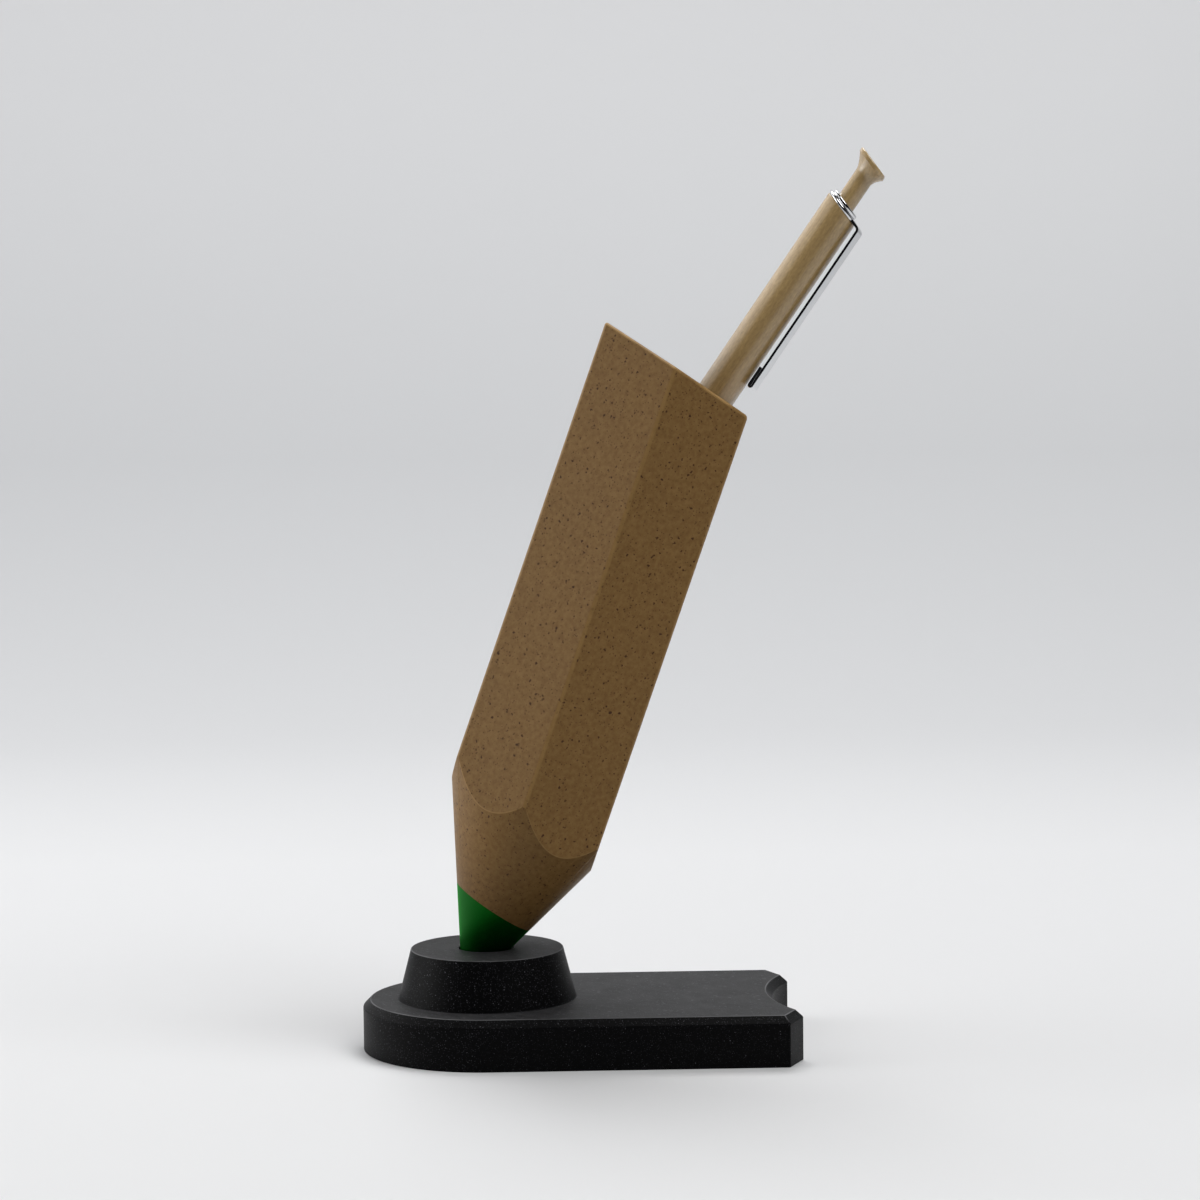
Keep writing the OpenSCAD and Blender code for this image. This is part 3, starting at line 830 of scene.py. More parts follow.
class Palette:
    """Every finish of the object, made once."""

    def __init__(self, lean: Lean, stand: PenStand) -> None:
        """Makes the materials.

        Args:
            lean: Frame of the pencil.
            stand: Frame of the pen.
        """
        level, pencil, pen = Matrix.Identity(4), lean.upright, stand.frame
        green_sheen = {"IOR": 1.65, "Specular Tint": (0.05, 1.0, 0.12), "Coat Weight": 1.0,
                       "Coat Roughness": 0.4, "Coat IOR": 1.03, "Coat Tint": (0.56, 1.0, 0.60)}
        varnish = {"Coat Weight": 1.0, "Coat Roughness": 0.25, "Coat IOR": 1.7}
        matt, half_matt = {"Specular IOR Level": 0.06}, {"Specular IOR Level": 0.25}
        finishes = (
            (SparklePrint(Slot.BASE, (0.0028, 0.0028, 0.0031), 0.47, values=matt), level),
            (SatinPrint(Slot.TIP, (0.0005, 0.020, 0.003), 0.38, values=green_sheen), pencil),
            (WoodFilledPrint(Slot.BODY, (0.231, 0.121, 0.032), 0.48, values=half_matt), pencil),
            (TurnedWood(Slot.WOOD, (0.69, 0.480, 0.205), 0.42, values=varnish), pen),
            (PolishedMetal(Slot.CHROME, (0.70, 0.705, 0.72), 0.05, 1.0, shut=(0.012, 0.012, 0.013)), pen),
            (Finish(Slot.PLASTIC, (0.48, 0.51, 0.54), 0.35), pen),
            (Finish(Slot.INK, (0.022, 0.040, 0.230), 0.25), pen),
            (PolishedMetal(Slot.BRASS, (0.57, 0.34, 0.075), 0.18, 1.0), pen),
            (PolishedMetal(Slot.STEEL, (0.48, 0.49, 0.52), 0.22, 1.0), pen))
        effects = Effects()
        self.materials = {finish.slot: finish.make(effects, frame) for finish, frame in finishes}

    def dress(self, obj: Piece, slot: Slot) -> None:
        """Gives a piece one finish all over."""
        dress(obj, self.materials[slot])

    def seat(self, obj: Piece, node: str, body: Body, slot: Slot) -> None:
        """Dresses a new piece, hides the solid that it stands for and sets what it moves with.

        Args:
            obj: New piece.
            node: Solid that it stands for.
            body: Body that it moves with.
            slot: Its finish.
        """
        self.dress(obj, slot)
        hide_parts(node)
        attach(obj, body.value)
        LOG.info("%s: %d faces, moves with %s", obj.name, len(obj.data.polygons), body.value)


def dress(obj: Piece, material: bpy.types.Material) -> None:
    """Gives a piece one material all over.

    Args:
        obj: The piece.
        material: Its only material.
    """
    obj.data.materials.clear()
    obj.data.materials.append(material)
    for face in obj.data.polygons:
        face.material_index = 0


@dataclass
class LeadTip:
    """Green point of the pencil."""
    lean: Lean = Lean()
    height: float = 21.1
    cone_angle: float = 25.2
    blunt_r: float = 1.0
    spigot_r: float = 4.0
    spigot_len: float = 7.0
    edge: float = 0.07
    steps: int = 192

    @property
    def slope(self) -> float:
        """Radius gained over one millimetre of height."""
        return math.tan(math.radians(self.cone_angle))

    def cone(self, name: str, gap: float) -> Piece:
        """The blunt cone in the pencil's own frame, wider by a gap all round."""
        radii = (self.blunt_r + gap, self.height * self.slope + gap)
        return Bench.cone(name, self.steps, radii, self.blunt_r / self.slope - gap, self.height)

    def build(self, palette: Palette) -> None:
        """Softens the seam's edge and draws the hidden spigot out of the top.

        Args:
            palette: The finishes.
        """
        obj = self.cone("tip_print", 0.0)
        top_r = self.height * self.slope

        def on_seam(corner: Any) -> bool:
            """Tells a corner of the seam from those of the spigot."""
            return abs(corner.co.z - self.height) < NEAR and corner.co.xy.length > self.spigot_r + NEAR

        with Bench.editing(obj):
            Bench.pick(obj, Kind.FACE, lambda f: f.normal.z > UP)
            bpy.ops.mesh.inset(thickness=top_r - self.spigot_r)
            Bench.extrude(z=self.spigot_len)
            Bench.pick(obj, Kind.EDGE, lambda e: all(on_seam(v) for v in e.verts))
            Bench.bevel(self.edge, 2)
        Bench.close(obj)
        Bench.place(obj, self.lean.frame)
        palette.seat(obj, "lead_tip", Body.HOLDER, Slot.TIP)


@dataclass
class Base:
    """Black slab with a round end, a hollowed end and a conical boss with an oblique socket."""
    slab_r: float = 28.185
    slab_t: float = 11.4
    reach: float = 70.0
    bevel: float = 1.65
    corner_x: float = 3.6
    corner_y: float = 8.0
    hollow: float = 5.0
    hollow_cuts: int = 39
    boss_rise: float = 11.3
    boss_sunk: float = 2.0
    boss_top_r: float = 17.25
    boss_draft: float = 14.5
    foot_reach: float = 1.0
    foot_rise: float = 0.5
    edge: float = 0.22
    edge_angle: float = 20.0
    socket_gap: float = 0.3
    smooth_deg: float = 32.0
    steps: int = 160

    def boss_r(self, drop: float) -> float:
        """Radius of the boss below its top."""
        return self.boss_top_r + drop * math.tan(math.radians(self.boss_draft))

    def slab(self) -> Piece:
        """Half a disc, drawn out to the hollowed end, raised and bevelled.

        Returns:
            The slab.
        """
        Bench.clear()
        bpy.ops.mesh.primitive_circle_add(vertices=self.steps, radius=self.slab_r, fill_type="NGON")
        obj = Bench.take("base_form")
        chord = self.slab_r - self.corner_y
        radius = (chord ** 2 + self.hollow ** 2) / (2 * self.hollow)
        centre = self.reach - self.hollow + radius
        with Bench.editing(obj):
            Bench.pick_all()
            bpy.ops.mesh.bisect(plane_co=(0, 0, 0), plane_no=(1, 0, 0), clear_outer=True)
            Bench.pick(obj, Kind.EDGE, lambda e: all(abs(v.co.x) < NEAR for v in e.verts))
            Bench.extrude(x=self.reach - self.corner_x)
            Bench.extrude(x=self.corner_x)
            bpy.ops.transform.resize(value=(1, chord / self.slab_r, 1))
            bpy.ops.mesh.subdivide(number_cuts=self.hollow_cuts, ngon=True)
            mesh = bmesh.from_edit_mesh(obj.data)
            for corner in mesh.verts:
                if abs(corner.co.x - self.reach) < NEAR:
                    corner.co.x = centre - math.sqrt(radius ** 2 - corner.co.y ** 2)
            bmesh.update_edit_mesh(obj.data)
            bpy.ops.mesh.select_mode(type=Kind.FACE.name)
            Bench.pick_all()
            bpy.ops.mesh.dissolve_faces()
            Bench.pick_all()
            Bench.extrude(z=self.slab_t)
            Bench.turn_outwards()
            Bench.pick(obj, Kind.EDGE, lambda e: all(v.co.z > self.slab_t - NEAR for v in e.verts))
            Bench.bevel(self.bevel, 1)
        return obj

    def boss(self) -> Piece:
        """The conical boss, with its foot sunk in the slab.

        Returns:
            The boss.
        """
        height = self.boss_rise + self.boss_sunk
        low = self.slab_t - self.boss_sunk
        return Bench.cone("boss_form", self.steps, (self.boss_r(height), self.boss_top_r), low, low + height)

    def mark_scuffs_and_highlights(self, obj: Piece) -> None:
        """Marks the middle of the outer edges pale, for scuffing and painted highlight, by the second slot of
        the bevel's faces.

        Args:
            obj: The softened base.
        """
        foot_r = self.boss_r(self.boss_rise)
        worn = obj.data.attributes.new(Mark.WORN.value, "FLOAT", "POINT")
        plain = {corner for face in obj.data.polygons if face.material_index == 0 for corner in face.vertices}
        for corner in obj.data.vertices:
            level = abs(corner.co.z - self.slab_t) < self.foot_rise
            at_foot = level and abs(corner.co.xy.length - foot_r) < self.foot_reach
            high = corner.co.z > self.slab_t - self.bevel / 2
            outer = corner.index not in plain and high and not at_foot
            worn.data[corner.index].value = 1.0 if outer else 0.0

    def build(self, tip: LeadTip, palette: Palette) -> None:
        """Joins slab and boss, cuts the socket and softens the edges.

        Args:
            tip: The pencil's coloured tip, which the socket fits.
            palette: The finishes.
        """
        obj = self.slab()
        Bench.combine(obj, self.boss(), Cut.ADD)
        socket = tip.cone("socket_form", self.socket_gap)
        socket.data.transform(tip.lean.frame)
        Bench.combine(obj, socket, Cut.TAKE_AWAY)
        Bench.close(obj)
        palette.dress(obj, Slot.BASE)
        obj.data.materials.append(palette.materials[Slot.BASE])
        Bench.modify(obj, "BEVEL", width=self.edge, segments=3, limit_method="ANGLE",
                     angle_limit=math.radians(self.edge_angle), harden_normals=False, material=1)
        self.mark_scuffs_and_highlights(obj)
        obj.name = obj.data.name = "base_print"
        Bench.place(obj, Matrix.Identity(4), self.smooth_deg)
        palette.seat(obj, "base", Body.HOLDER, Slot.BASE)


@dataclass
class PencilBody:
    """Brown six-sided pencil: rounded long edges, a sharpened cone with scallops, and a hollow cup."""
    flats: float = 37.8
    turn: float = -5.0
    edge_r: float = 1.1
    height: float = 144.8
    rim: float = 0.65
    wall: float = 4.0
    cup_depth: float = 94.0
    cup_corner_r: float = 2.0
    corner_steps: int = 6
    scallop: float = 0.2
    ridge_scuff_and_highlight: float = 0.6
    ridge_start: float = 0.03
    ridge_fade: float = 0.08
    upright_normal: float = 0.05
    cone_normal: float = -0.3
    broad_area: float = 189.0
    scallop_room: float = 5.0
    over: float = 2.0
    smooth_deg: float = 24.0

    def prism(self, low: float) -> Piece:
        """The hexagon with its cup and rounded edges.

        Args:
            low: Height of its lower end.

        Returns:
            The prism in the pencil's own frame.
        """
        Bench.clear()
        bpy.ops.mesh.primitive_cylinder_add(
            vertices=6, radius=self.flats / 2 / math.cos(HEX_HALF), depth=self.height - low,
            location=(0, 0, (self.height + low) / 2), rotation=(0, 0, math.radians(self.turn)))
        obj = Bench.take("pencil_print")
        middle = (self.flats - self.wall) / 2 / math.cos(HEX_HALF)

        def outer(edge: Any) -> bool:
            """Tells an edge of the outside from one of the cup."""
            return edge.verts[0].co.xy.length > middle

        def long(edge: Any) -> bool:
            """Tells a long edge from the others."""
            return abs(edge.verts[0].co.z - edge.verts[1].co.z) > self.wall

        def on_rim(edge: Any) -> bool:
            """Tells an edge between the rim and a side."""
            beside = any(abs(f.normal.z) < self.upright_normal for f in edge.link_faces)
            return beside and all(abs(v.co.z - self.height) < NEAR for v in edge.verts)

        with Bench.editing(obj):
            Bench.pick(obj, Kind.FACE, lambda f: f.normal.z > UP)
            bpy.ops.mesh.inset(thickness=self.wall)
            Bench.extrude(z=-self.cup_depth)
            Bench.pick(obj, Kind.EDGE, lambda e: long(e) and outer(e))
            Bench.bevel(self.edge_r * math.tan(HEX_HALF), self.corner_steps)
            Bench.pick(obj, Kind.EDGE, lambda e: long(e) and not outer(e))
            Bench.bevel(self.cup_corner_r * math.tan(HEX_HALF), self.corner_steps)
            Bench.pick(obj, Kind.EDGE, on_rim)
            Bench.bevel(self.rim, 3)
        return obj

    def mark_scuffs_and_highlights(self, obj: Piece) -> None:
        """Marks the scallops' bevel, still selected, the rim's and the long edges pale, for scuffing and
        painted highlight.

        Args:
            obj: The body in edit mode.
        """
        mesh = bmesh.from_edit_mesh(obj.data)
        worn = mesh.loops.layers.float.new(Mark.WORN.value)
        half = self.flats / 2
        rim_low, rim_r = self.height - self.rim - NEAR, half - self.rim - NEAR
        ridge_r = math.hypot(half, (half - self.edge_r) * math.tan(HEX_HALF)) + self.ridge_start
        for corner in (loop for face in mesh.faces for loop in face.loops):
            reach, tilt = corner.vert.co.xy.length, corner.face.normal.z
            on_rim = self.upright_normal < tilt < UP and corner.vert.co.z > rim_low and reach > rim_r
            on_scallop = all(face.select for face in corner.vert.link_faces)
            # The long ridges get a painted highlight, with some scuffing.
            ridge = min(1.0, max(0.0, (reach - ridge_r) / self.ridge_fade)) * self.ridge_scuff_and_highlight
            side = ridge if abs(tilt) < self.upright_normal else 0.0
            corner[worn] = 1.0 if on_rim or on_scallop else side
        bmesh.update_edit_mesh(obj.data)

    def build(self, tip: LeadTip, palette: Palette) -> None:
        """Sharpens the prism to a cone, bores it for the tip and softens the scallops.

        Args:
            tip: The coloured tip that goes on below.
            palette: The finishes.
        """
        obj = self.prism(tip.height - self.over)
        top = self.height + self.over
        radii = (tip.height * tip.slope, top * tip.slope)
        Bench.combine(obj, Bench.cone("sharpener", tip.steps, radii, tip.height, top), Cut.KEEP_SHARED)
        bore = Bench.cone("bore", tip.steps // 2, (tip.spigot_r, tip.spigot_r), tip.height - self.over,
                          tip.height + tip.spigot_len)
        Bench.combine(obj, bore, Cut.TAKE_AWAY)
        Bench.close(obj)

        def scalloped(edge: Any) -> bool:
            """Tells an edge between the cone and one of the broad flat sides.

            Args:
                edge: Edge of the body.

            Returns:
                Whether it is one of the scallops' edges.
            """
            tilts = sorted(f.normal.z for f in edge.link_faces)
            broad = max((f.calc_area() for f in edge.link_faces), default=0.0) > self.broad_area
            above_tip = edge.verts[0].co.z > tip.height + self.scallop_room
            meeting = tilts[0] < self.cone_normal and abs(tilts[-1]) < self.upright_normal
            return broad and meeting and above_tip

        with Bench.editing(obj):
            Bench.pick(obj, Kind.EDGE, scalloped)
            Bench.bevel(self.scallop, 2)
            self.mark_scuffs_and_highlights(obj)
        Bench.place(obj, tip.lean.frame, self.smooth_deg)
        palette.seat(obj, "holder_body", Body.HOLDER, Slot.BODY)


@dataclass
class Pen:
    """Click pen: wooden barrel and button, chromed clip, collar and nose, and its hidden works."""
    stand: PenStand = PenStand()
    barrel_r: float = 4.45
    bore_r: float = 3.0
    barrel_top: float = 135.6
    soft: float = 0.12
    slant_room: float = 1.0
    nose_len: float = 14.0
    nose_mouth: tuple[Point, ...] = ((1.23, 0.15), (1.4, 0.0), (1.55, 0.0), (1.72, 0.2))
    nose_shoulder: tuple[Point, ...] = ((0.06, 0.4), (0.0, 0.15), (0.1, 0.0))
    spigot_len: float = 9.0
    spring_room_r: float = 2.5
    plate_h: float = 0.851
    collar_r: float = 3.75
    collar_h: float = 0.958
    collar_bore_r: float = 2.43
    shank_r: float = 2.95
    shank_len: float = 6.0
    ring_round: float = 0.36
    stem_r: float = 2.35
    stem_sink: float = 5.0
    stem_edge: float = 0.1
    stem_level: float = 2.0
    pin_r: float = 1.225
    pin_len: float = 2.55
    button_h: float = 11.0
    flare_h: float = 4.2
    flare_r: float = 4.05
    flare_bow: float = 1.6
    flare_steps: int = 14
    flare_room: float = 5.0
    lip: float = 1.1
    lip_round: float = 0.4
    round_steps: int = 5
    clip_t: float = 0.6
    clip_w: float = 4.4
    clip_gap: float = 1.6
    clip_low: float = 91.036
    clip_leg: float = 4.6
    clip_root: float = 3.4
    clip_lift: float = 0.1
    clip_edge: float = 0.045
    clip_edge_angle: float = 50.0
    clip_steps: int = 12
    curl_r: float = 0.06
    curl_steps: int = 16
    curl_room: float = 3.0
    curl_facing: float = 0.2
    curl_skin: float = 0.02
    bend_r: float = 0.7
    bend_steps: int = 10
    travel: float = 5.0
    spring_low: float = 4.717
    spring_high: float = 20.35
    spring_r: float = 2.0
    spring_turns: int = 9
    coil_steps: int = 36
    wire_d: float = 0.4
    wire_sides: int = 10

    @property
    def plate_top(self) -> float:
        """Height of the clip plate's top on the pen's middle line."""
        return self.barrel_top + self.plate_h

    @property
    def collar_top(self) -> float:
        """Height of the collar's top on the pen's middle line."""
        return self.plate_top + self.collar_h

    def upper_round(self, r: float, top: float, round_r: float) -> list[Point]:
        """Outline of a rim's rounded upper corner, from below upwards."""
        turns = [math.pi / 2 * i / self.round_steps for i in range(self.round_steps + 1)]
        return [(r - round_r * (1 - math.cos(a)), top - round_r * (1 - math.sin(a))) for a in turns]

    def ring(self, r: float, low: float, top: float) -> list[Point]:
        """Outline of a ring's rim with both corners rounded, from below upwards."""
        over = self.upper_round(r, top, self.ring_round)
        return [(x, low + top - z) for x, z in reversed(over)] + over

    def barrel(self) -> Piece:
        """The wooden tube with its slanted top.

        Returns:
            The barrel in the pen's frame.
        """
        r, low, top, s = self.barrel_r, self.nose_len, self.barrel_top, self.soft
        obj = Bench.lathe("barrel_wood", [
            (self.bore_r, low), (r - s, low), (r, low + s), (r, top - s), (r - s / 3, top - s / 3),
            (r - s, top), (self.bore_r, top), (self.bore_r, low)])
        self.stand.slope(obj, top - self.slant_room)
        return obj

    def nose(self) -> Piece:
        """The chromed nose cone with its spigot.

        Returns:
            The nose in the pen's frame.
        """
        end, floor = self.nose_len + self.spigot_len, self.nose_len / 3
        hole_r = self.nose_mouth[0][0]
        shoulder = [(self.barrel_r - x, self.nose_len - z) for x, z in self.nose_shoulder]
        return Bench.lathe("nose_chrome", [
            *self.nose_mouth, *shoulder, (self.shank_r, self.nose_len), (self.shank_r, end),
            (self.spring_room_r, end), (self.spring_room_r, floor), (hole_r, floor), self.nose_mouth[0]])

    def collar(self) -> Piece:
        """The chromed ring over the clip's plate, with its shank.

        Returns:
            The collar in the pen's frame.
        """
        foot = self.barrel_top - self.shank_len
        obj = Bench.lathe("collar_chrome", [
            (self.collar_bore_r, foot), (self.shank_r, foot), (self.shank_r, self.plate_top),
            *self.ring(self.collar_r, self.plate_top, self.collar_top), (self.collar_bore_r, self.collar_top),
            (self.collar_bore_r, foot)])
        self.stand.slope(obj, self.barrel_top - self.slant_room)
        return obj

    def button(self) -> Piece:
        """The wooden button with its flared end.

        Returns:
            The button in the pen's frame.
        """
        low, top = self.barrel_top - self.stem_sink, self.collar_top + self.button_h
        foot, steps = top - self.flare_h, self.flare_steps
        curve = [(self.stem_r + (self.flare_r - self.stem_r) * (i / steps) ** self.flare_bow,
                  foot + (self.flare_h - self.lip) * i / steps) for i in range(steps + 1)]
        obj = Bench.lathe("button_wood", [
            (0.0, low + self.pin_len), (self.pin_r, low + self.pin_len), (self.pin_r, low),
            (self.stem_r - self.stem_edge, low), (self.stem_r, low + self.stem_edge),
            (self.stem_r, self.barrel_top + self.stem_level), *curve,
            *self.upper_round(self.flare_r, top, self.lip_round), (0.0, top)])
        self.stand.slope(obj, foot - self.flare_room)
        return obj

    def clip_line(self) -> list[Vector]:
        """Middle line of the clip's strip, from inside the plate over the bend to the curled end.

        Returns:
            Places along the line, in the pen's frame.
        """
        half, slant = self.clip_t / 2, self.stand.slant
        fall = math.radians(slant)
        inner = self.barrel_r + self.clip_gap
        root = self.barrel_top + self.clip_lift / math.cos(fall)
        bend_x = inner - self.bend_r
        bend = Vector((bend_x, 0.0, root - bend_x * math.tan(fall) - self.bend_r / math.cos(fall)))
        curl = Vector((inner - self.curl_r, 0.0, self.clip_low + self.curl_r + self.clip_t))
        start_z = root - self.clip_root * math.tan(fall) + half / math.cos(fall)

        def arc(centre: Vector, radius: float, start: float, end: float, steps: int) -> list[Vector]:
            """Points of an arc in the pen's middle plane, from one angle to another in degrees."""
            turns = [math.radians(start + (end - start) * i / steps) for i in range(steps + 1)]
            return [centre + radius * Vector((math.cos(a), 0.0, math.sin(a))) for a in turns]

        upper = arc(bend, self.bend_r + half, 90.0 - slant, 0.0, self.bend_steps)
        lower = arc(curl, self.curl_r + half, 0.0, -180.0, self.curl_steps)
        run = [upper[-1].lerp(lower[0], i / self.clip_steps) for i in range(1, self.clip_steps)]
        leg_end = lower[-1] + Vector((0.0, 0.0, self.clip_leg))
        return [Vector((self.clip_root, 0.0, start_z)), *upper, *run, *lower, leg_end]

    def clip(self) -> Piece:
        """The chromed clip: a bent strip that grows out of a plate on the barrel.

        Returns:
            The clip in the pen's frame.
        """
        aside = Vector((0.0, -self.clip_w / 2, 0.0))
        obj = Bench.chain("clip_chrome", [place + aside for place in self.clip_line()])
        with Bench.editing(obj):
            Bench.pick_all()
            Bench.extrude(y=self.clip_w)
            Bench.turn_outwards()
        Bench.modify(obj, "SOLIDIFY", thickness=self.clip_t, offset=0.0, use_even_offset=True)
        Bench.modify(obj, "BEVEL", width=self.clip_edge, segments=2, limit_method="ANGLE",
                     angle_limit=math.radians(self.clip_edge_angle))
        low, top = self.barrel_top, self.plate_top
        plate = Bench.lathe("plate_form", [
            (self.bore_r, low), *self.ring(self.barrel_r, low, top), (self.bore_r, top), (self.bore_r, low)])
        self.stand.slope(plate, low - self.slant_room)
        Bench.combine(obj, plate, Cut.ADD)
        Bench.close(obj)
        self.shade_curl(obj)
        return obj

    def shade_curl(self, obj: Piece) -> None:
        """Marks the faces inside the curled end for painted shade, where little light gets in.

        Args:
            obj: The clip in the pen's frame.
        """
        shut = obj.data.attributes.new(Mark.SHUT.value, "FLOAT", "CORNER")
        inner = self.barrel_r + self.clip_gap
        for face in obj.data.polygons:
            low = face.center.z < self.clip_low + self.clip_leg + self.curl_room
            between = self.barrel_r < face.center.x < inner - self.curl_skin
            inside = low and between and face.normal.x > self.curl_facing
            for corner in face.loop_indices:
                shut.data[corner].value = 1.0 if inside else 0.0

    def spring(self) -> Piece:
        """The return spring: the wire's round section, wound upwards.

        Returns:
            The spring in the pen's frame.
        """
        half = self.wire_d / 2
        turns = [math.tau * i / self.wire_sides for i in range(self.wire_sides + 1)]
        centre = Vector((self.spring_r, 0.0, self.spring_low + half))
        section = [centre + half * Vector((math.cos(a), 0.0, math.sin(a))) for a in turns]
        obj = Bench.chain("spring_wire", section)
        Bench.close(obj)
        rise = (self.spring_high - self.spring_low - self.wire_d) / self.spring_turns
        Bench.modify(obj, "SCREW", axis="Z", angle=math.tau, screw_offset=rise, iterations=self.spring_turns,
                     steps=self.coil_steps, render_steps=self.coil_steps)
        with Bench.editing(obj):
            Bench.pick_all()
            bpy.ops.mesh.fill_holes(sides=0)
        Bench.close(obj)
        return obj

    def shorten(self, spring: Piece) -> None:
        """Gives the spring a mesh of its own.

        Args:
            spring: The finished spring.
        """
        along = self.stand.frame.to_3x3() @ Vector((0.0, 0.0, 1.0))
        foot = self.stand.frame @ Vector((0.0, 0.0, self.spring_low)) * MM
        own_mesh(spring)

    def build(self, palette: Palette, nodes: dict[str, Piece]) -> None:
        """Builds what shows of the pen and its spring, and dresses the other works inside it.

        Args:
            palette: The finishes.
            nodes: The loaded solids, by name.
        """
        pieces = {
            "pen_barrel": (self.barrel(), Body.PEN, Slot.WOOD),
            "pen_nose": (self.nose(), Body.PEN, Slot.CHROME),
            "pen_clip": (self.clip(), Body.PEN, Slot.CHROME),
            "pen_collar": (self.collar(), Body.PEN, Slot.CHROME),
            "push_button": (self.button(), Body.BUTTON, Slot.WOOD),
            "return_spring": (self.spring(), Body.PEN, Slot.STEEL)}
        for node, (obj, body, slot) in pieces.items():
            Bench.place(obj, self.stand.frame)
            palette.seat(obj, node, body, slot)
        self.shorten(pieces["return_spring"][0])
        works = {"click_sleeve": Slot.PLASTIC, "click_plunger": Slot.PLASTIC, "click_rotor": Slot.PLASTIC,
                 "refill_tube": Slot.INK, "refill_point": Slot.BRASS}
        for name, slot in works.items():
            palette.dress(nodes[name], slot)
            LOG.info("%s: dressed", name)


@dataclass(frozen=True)
class StudioPaper:
    """Pale paper of floor and wall, which shows the camera painted light and throws little light back."""
    # Camera-seen tones are painted light: darker low on the wall, lighter up the wall and towards the front
    # of the floor.
    floor_front: Colour = (0.785, 0.790, 0.795)
    floor_back: Colour = (0.728, 0.733, 0.742)
    wall_low: Colour = (0.482, 0.490, 0.502)
    wall_high: Colour = (0.870, 0.875, 0.885)
    bounce: Colour = (0.34, 0.34, 0.35)
    # A faint emission on the wall, painted light that grows to the right, seen only by the camera.
    painted_glow_left: Colour = (0.016, 0.0165, 0.018)
    painted_glow_right: Colour = (0.098, 0.099, 0.100)
    floor_span: Point = (-0.2, 0.1)
    back_span: Point = (0.27, 0.9)
    wall_span: Point = (0.1, 0.42)
    painted_glow_span: Point = (-0.25, 0.3)

    def make(self) -> bpy.types.Material:
        """Makes the material.

        Returns:
            The new material.
        """
        material = bpy.data.materials.new("studio_paper")
        nodes = Nodes.of(material)
        shader = nodes.first("BSDF_PRINCIPLED").inputs
        for socket, value in (("Roughness", 0.8), ("Specular IOR Level", 0.1), ("Emission Strength", 1.0)):
            shader[socket].default_value = value
        where = nodes.axes(nodes.add("TexCoord").outputs["Object"])
        back = nodes.ramp(where[1], *self.back_span)
        wall = nodes.mix(nodes.ramp(where[2], *self.wall_span), self.wall_low, self.wall_high)
        floor = nodes.mix(nodes.ramp(where[1], *self.floor_span), self.floor_front, self.floor_back)
        path = nodes.add("LightPath").outputs
        mirrored = nodes.math("MAXIMUM", path["Is Glossy Ray"], path["Is Transmission Ray"])
        direct = nodes.math("MAXIMUM", path["Is Camera Ray"], mirrored)
        nodes.feed(shader["Base Color"], nodes.mix(direct, self.bounce, nodes.mix(back, floor, wall)))
        # Painted light: the wall emits for camera rays, more to the right.
        painted_glow = nodes.mix(nodes.ramp(where[0], *self.painted_glow_span), self.painted_glow_left, self.painted_glow_right)
        shown = nodes.times(path["Is Camera Ray"], back)
        nodes.feed(shader["Emission Color"], nodes.mix(shown, (0.0, 0.0, 0.0), painted_glow))
        return material


@dataclass(frozen=True)
class Lamp:
    """A soft square lamp that looks at the object; lengths in metres, power in watts."""
    name: str
    place: Place
    size: float
    power: float
    aim: Place = (0.03, 0.0, 0.08)

    def hang(self) -> None:
        """Adds the lamp and turns it towards the object."""
        Bench.clear()
        bpy.ops.object.light_add(type="AREA", location=self.place)
        lamp = bpy.context.active_object
        lamp.name = self.name
        lamp.data.size = self.size
        lamp.data.energy = self.power
        lamp.rotation_euler = (Vector(self.aim) - Vector(self.place)).to_track_quat("-Z", "Y").to_euler()


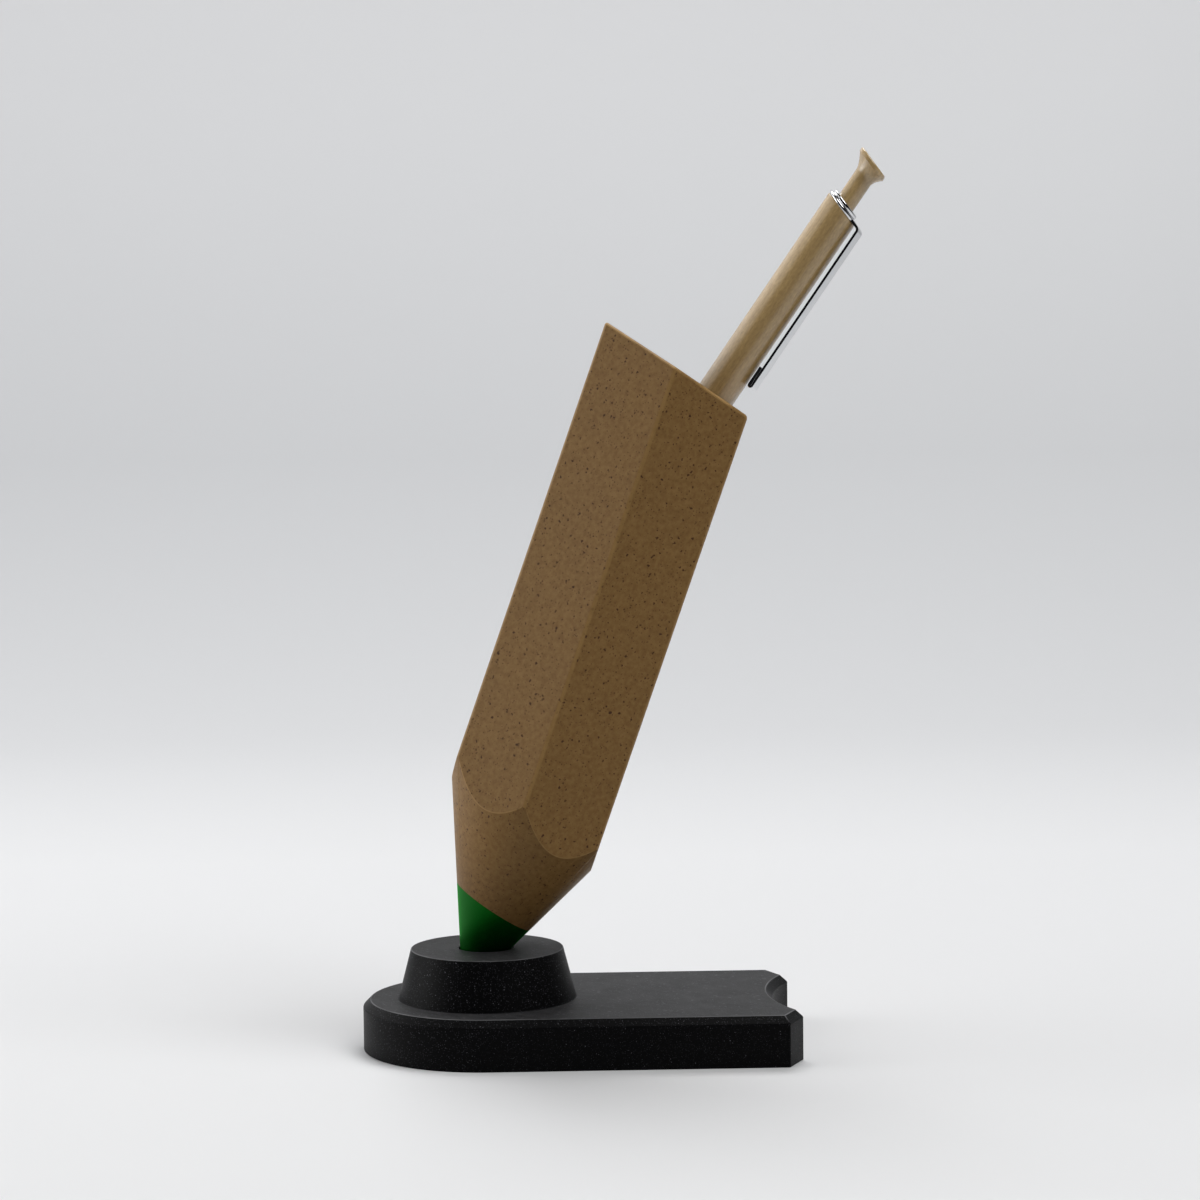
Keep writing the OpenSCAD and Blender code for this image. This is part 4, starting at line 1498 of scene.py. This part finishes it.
@dataclass
class Studio:
    """Pale sweep, soft lights and the camera, in metres."""
    lens: float = 104.63
    sensor: float = 36.0
    eye: Place = (0.0002, -0.7820, 0.1667)
    yaw: float = 0.0334658
    pitch: float = 0.0833327
    roll: float = -0.0096178
    front: float = -1.6
    back: float = 0.55
    curve: float = 0.35
    curve_steps: int = 16
    rise: float = 1.2
    width: float = 5.0
    air: Colour = (0.02, 0.02, 0.021)
    mirrored_air: Colour = (0.01, 0.01, 0.011)
    lamps: tuple[Lamp, ...] = (
        Lamp("lamp_left", (-1.25, -0.15, 0.8), 1.2, 4.0),
        Lamp("lamp_right", (0.8, -0.5, 1.4), 1.0, 15.4),
        Lamp("lamp_side", (-1.1, 0.1, 0.3), 0.7, 4.2),
        Lamp("lamp_back", (-0.9, 0.6, 0.6), 0.8, 2.2),
        Lamp("lamp_top", (0.0, 0.6, 1.25), 0.7, 10.0))

    def camera(self) -> None:
        """Sets the camera where the photograph was taken from."""
        Bench.clear()
        bpy.ops.object.camera_add(location=self.eye)
        camera = bpy.context.active_object
        turn = (Matrix.Rotation(-self.yaw, 4, "Z") @ Matrix.Rotation(math.pi / 2 - self.pitch, 4, "X")
                @ Matrix.Rotation(self.roll, 4, "Z"))
        camera.rotation_euler = turn.to_euler()
        camera.data.lens = self.lens
        camera.data.sensor_width = self.sensor
        bpy.context.scene.camera = camera

    def sweep(self) -> None:
        """The floor, drawn up behind the object into a wall."""
        left = -self.width / 2
        line = [Vector((left, self.front, 0.0)), Vector((left, self.back, 0.0))]
        for i in range(1, self.curve_steps + 1):
            a = math.pi / 2 * i / self.curve_steps
            line.append(Vector((left, self.back + self.curve * math.sin(a), self.curve * (1 - math.cos(a)))))
        line.append(line[-1] + Vector((0.0, 0.0, self.rise)))
        obj = Bench.chain("studio_sweep", line)
        with Bench.editing(obj):
            Bench.pick_all()
            Bench.extrude(x=self.width)
            Bench.turn_outwards()
        Bench.smooth(obj)
        dress(obj, StudioPaper().make())

    def world(self) -> None:
        """A dim world, dimmer still where the object mirrors it."""
        world = bpy.context.scene.world or bpy.data.worlds.new("studio_world")
        bpy.context.scene.world = world
        nodes = Nodes.of(world)
        ground = nodes.first("BACKGROUND").inputs
        mirrored = nodes.add("LightPath").outputs["Is Glossy Ray"]
        nodes.feed(ground["Color"], nodes.mix(mirrored, self.air, self.mirrored_air))
        ground["Strength"].default_value = 1.0

    def build(self) -> None:
        """Sets up camera, stage, lamps and world."""
        self.camera()
        self.sweep()
        for lamp in self.lamps:
            lamp.hang()
        self.world()
        bpy.context.scene.view_settings.view_transform = "Standard"


def main() -> None:
    """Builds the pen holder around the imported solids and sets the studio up."""
    logging.basicConfig(level=logging.INFO, format="%(message)s")
    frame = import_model()
    Studio().build()
    tip, pen = LeadTip(), Pen()
    palette = Palette(tip.lean, pen.stand)
    tip.build(palette)
    Base().build(tip, palette)
    PencilBody().build(tip, palette)
    pen.build(palette, frame["nodes"])


if __name__ == "__main__":
    main()
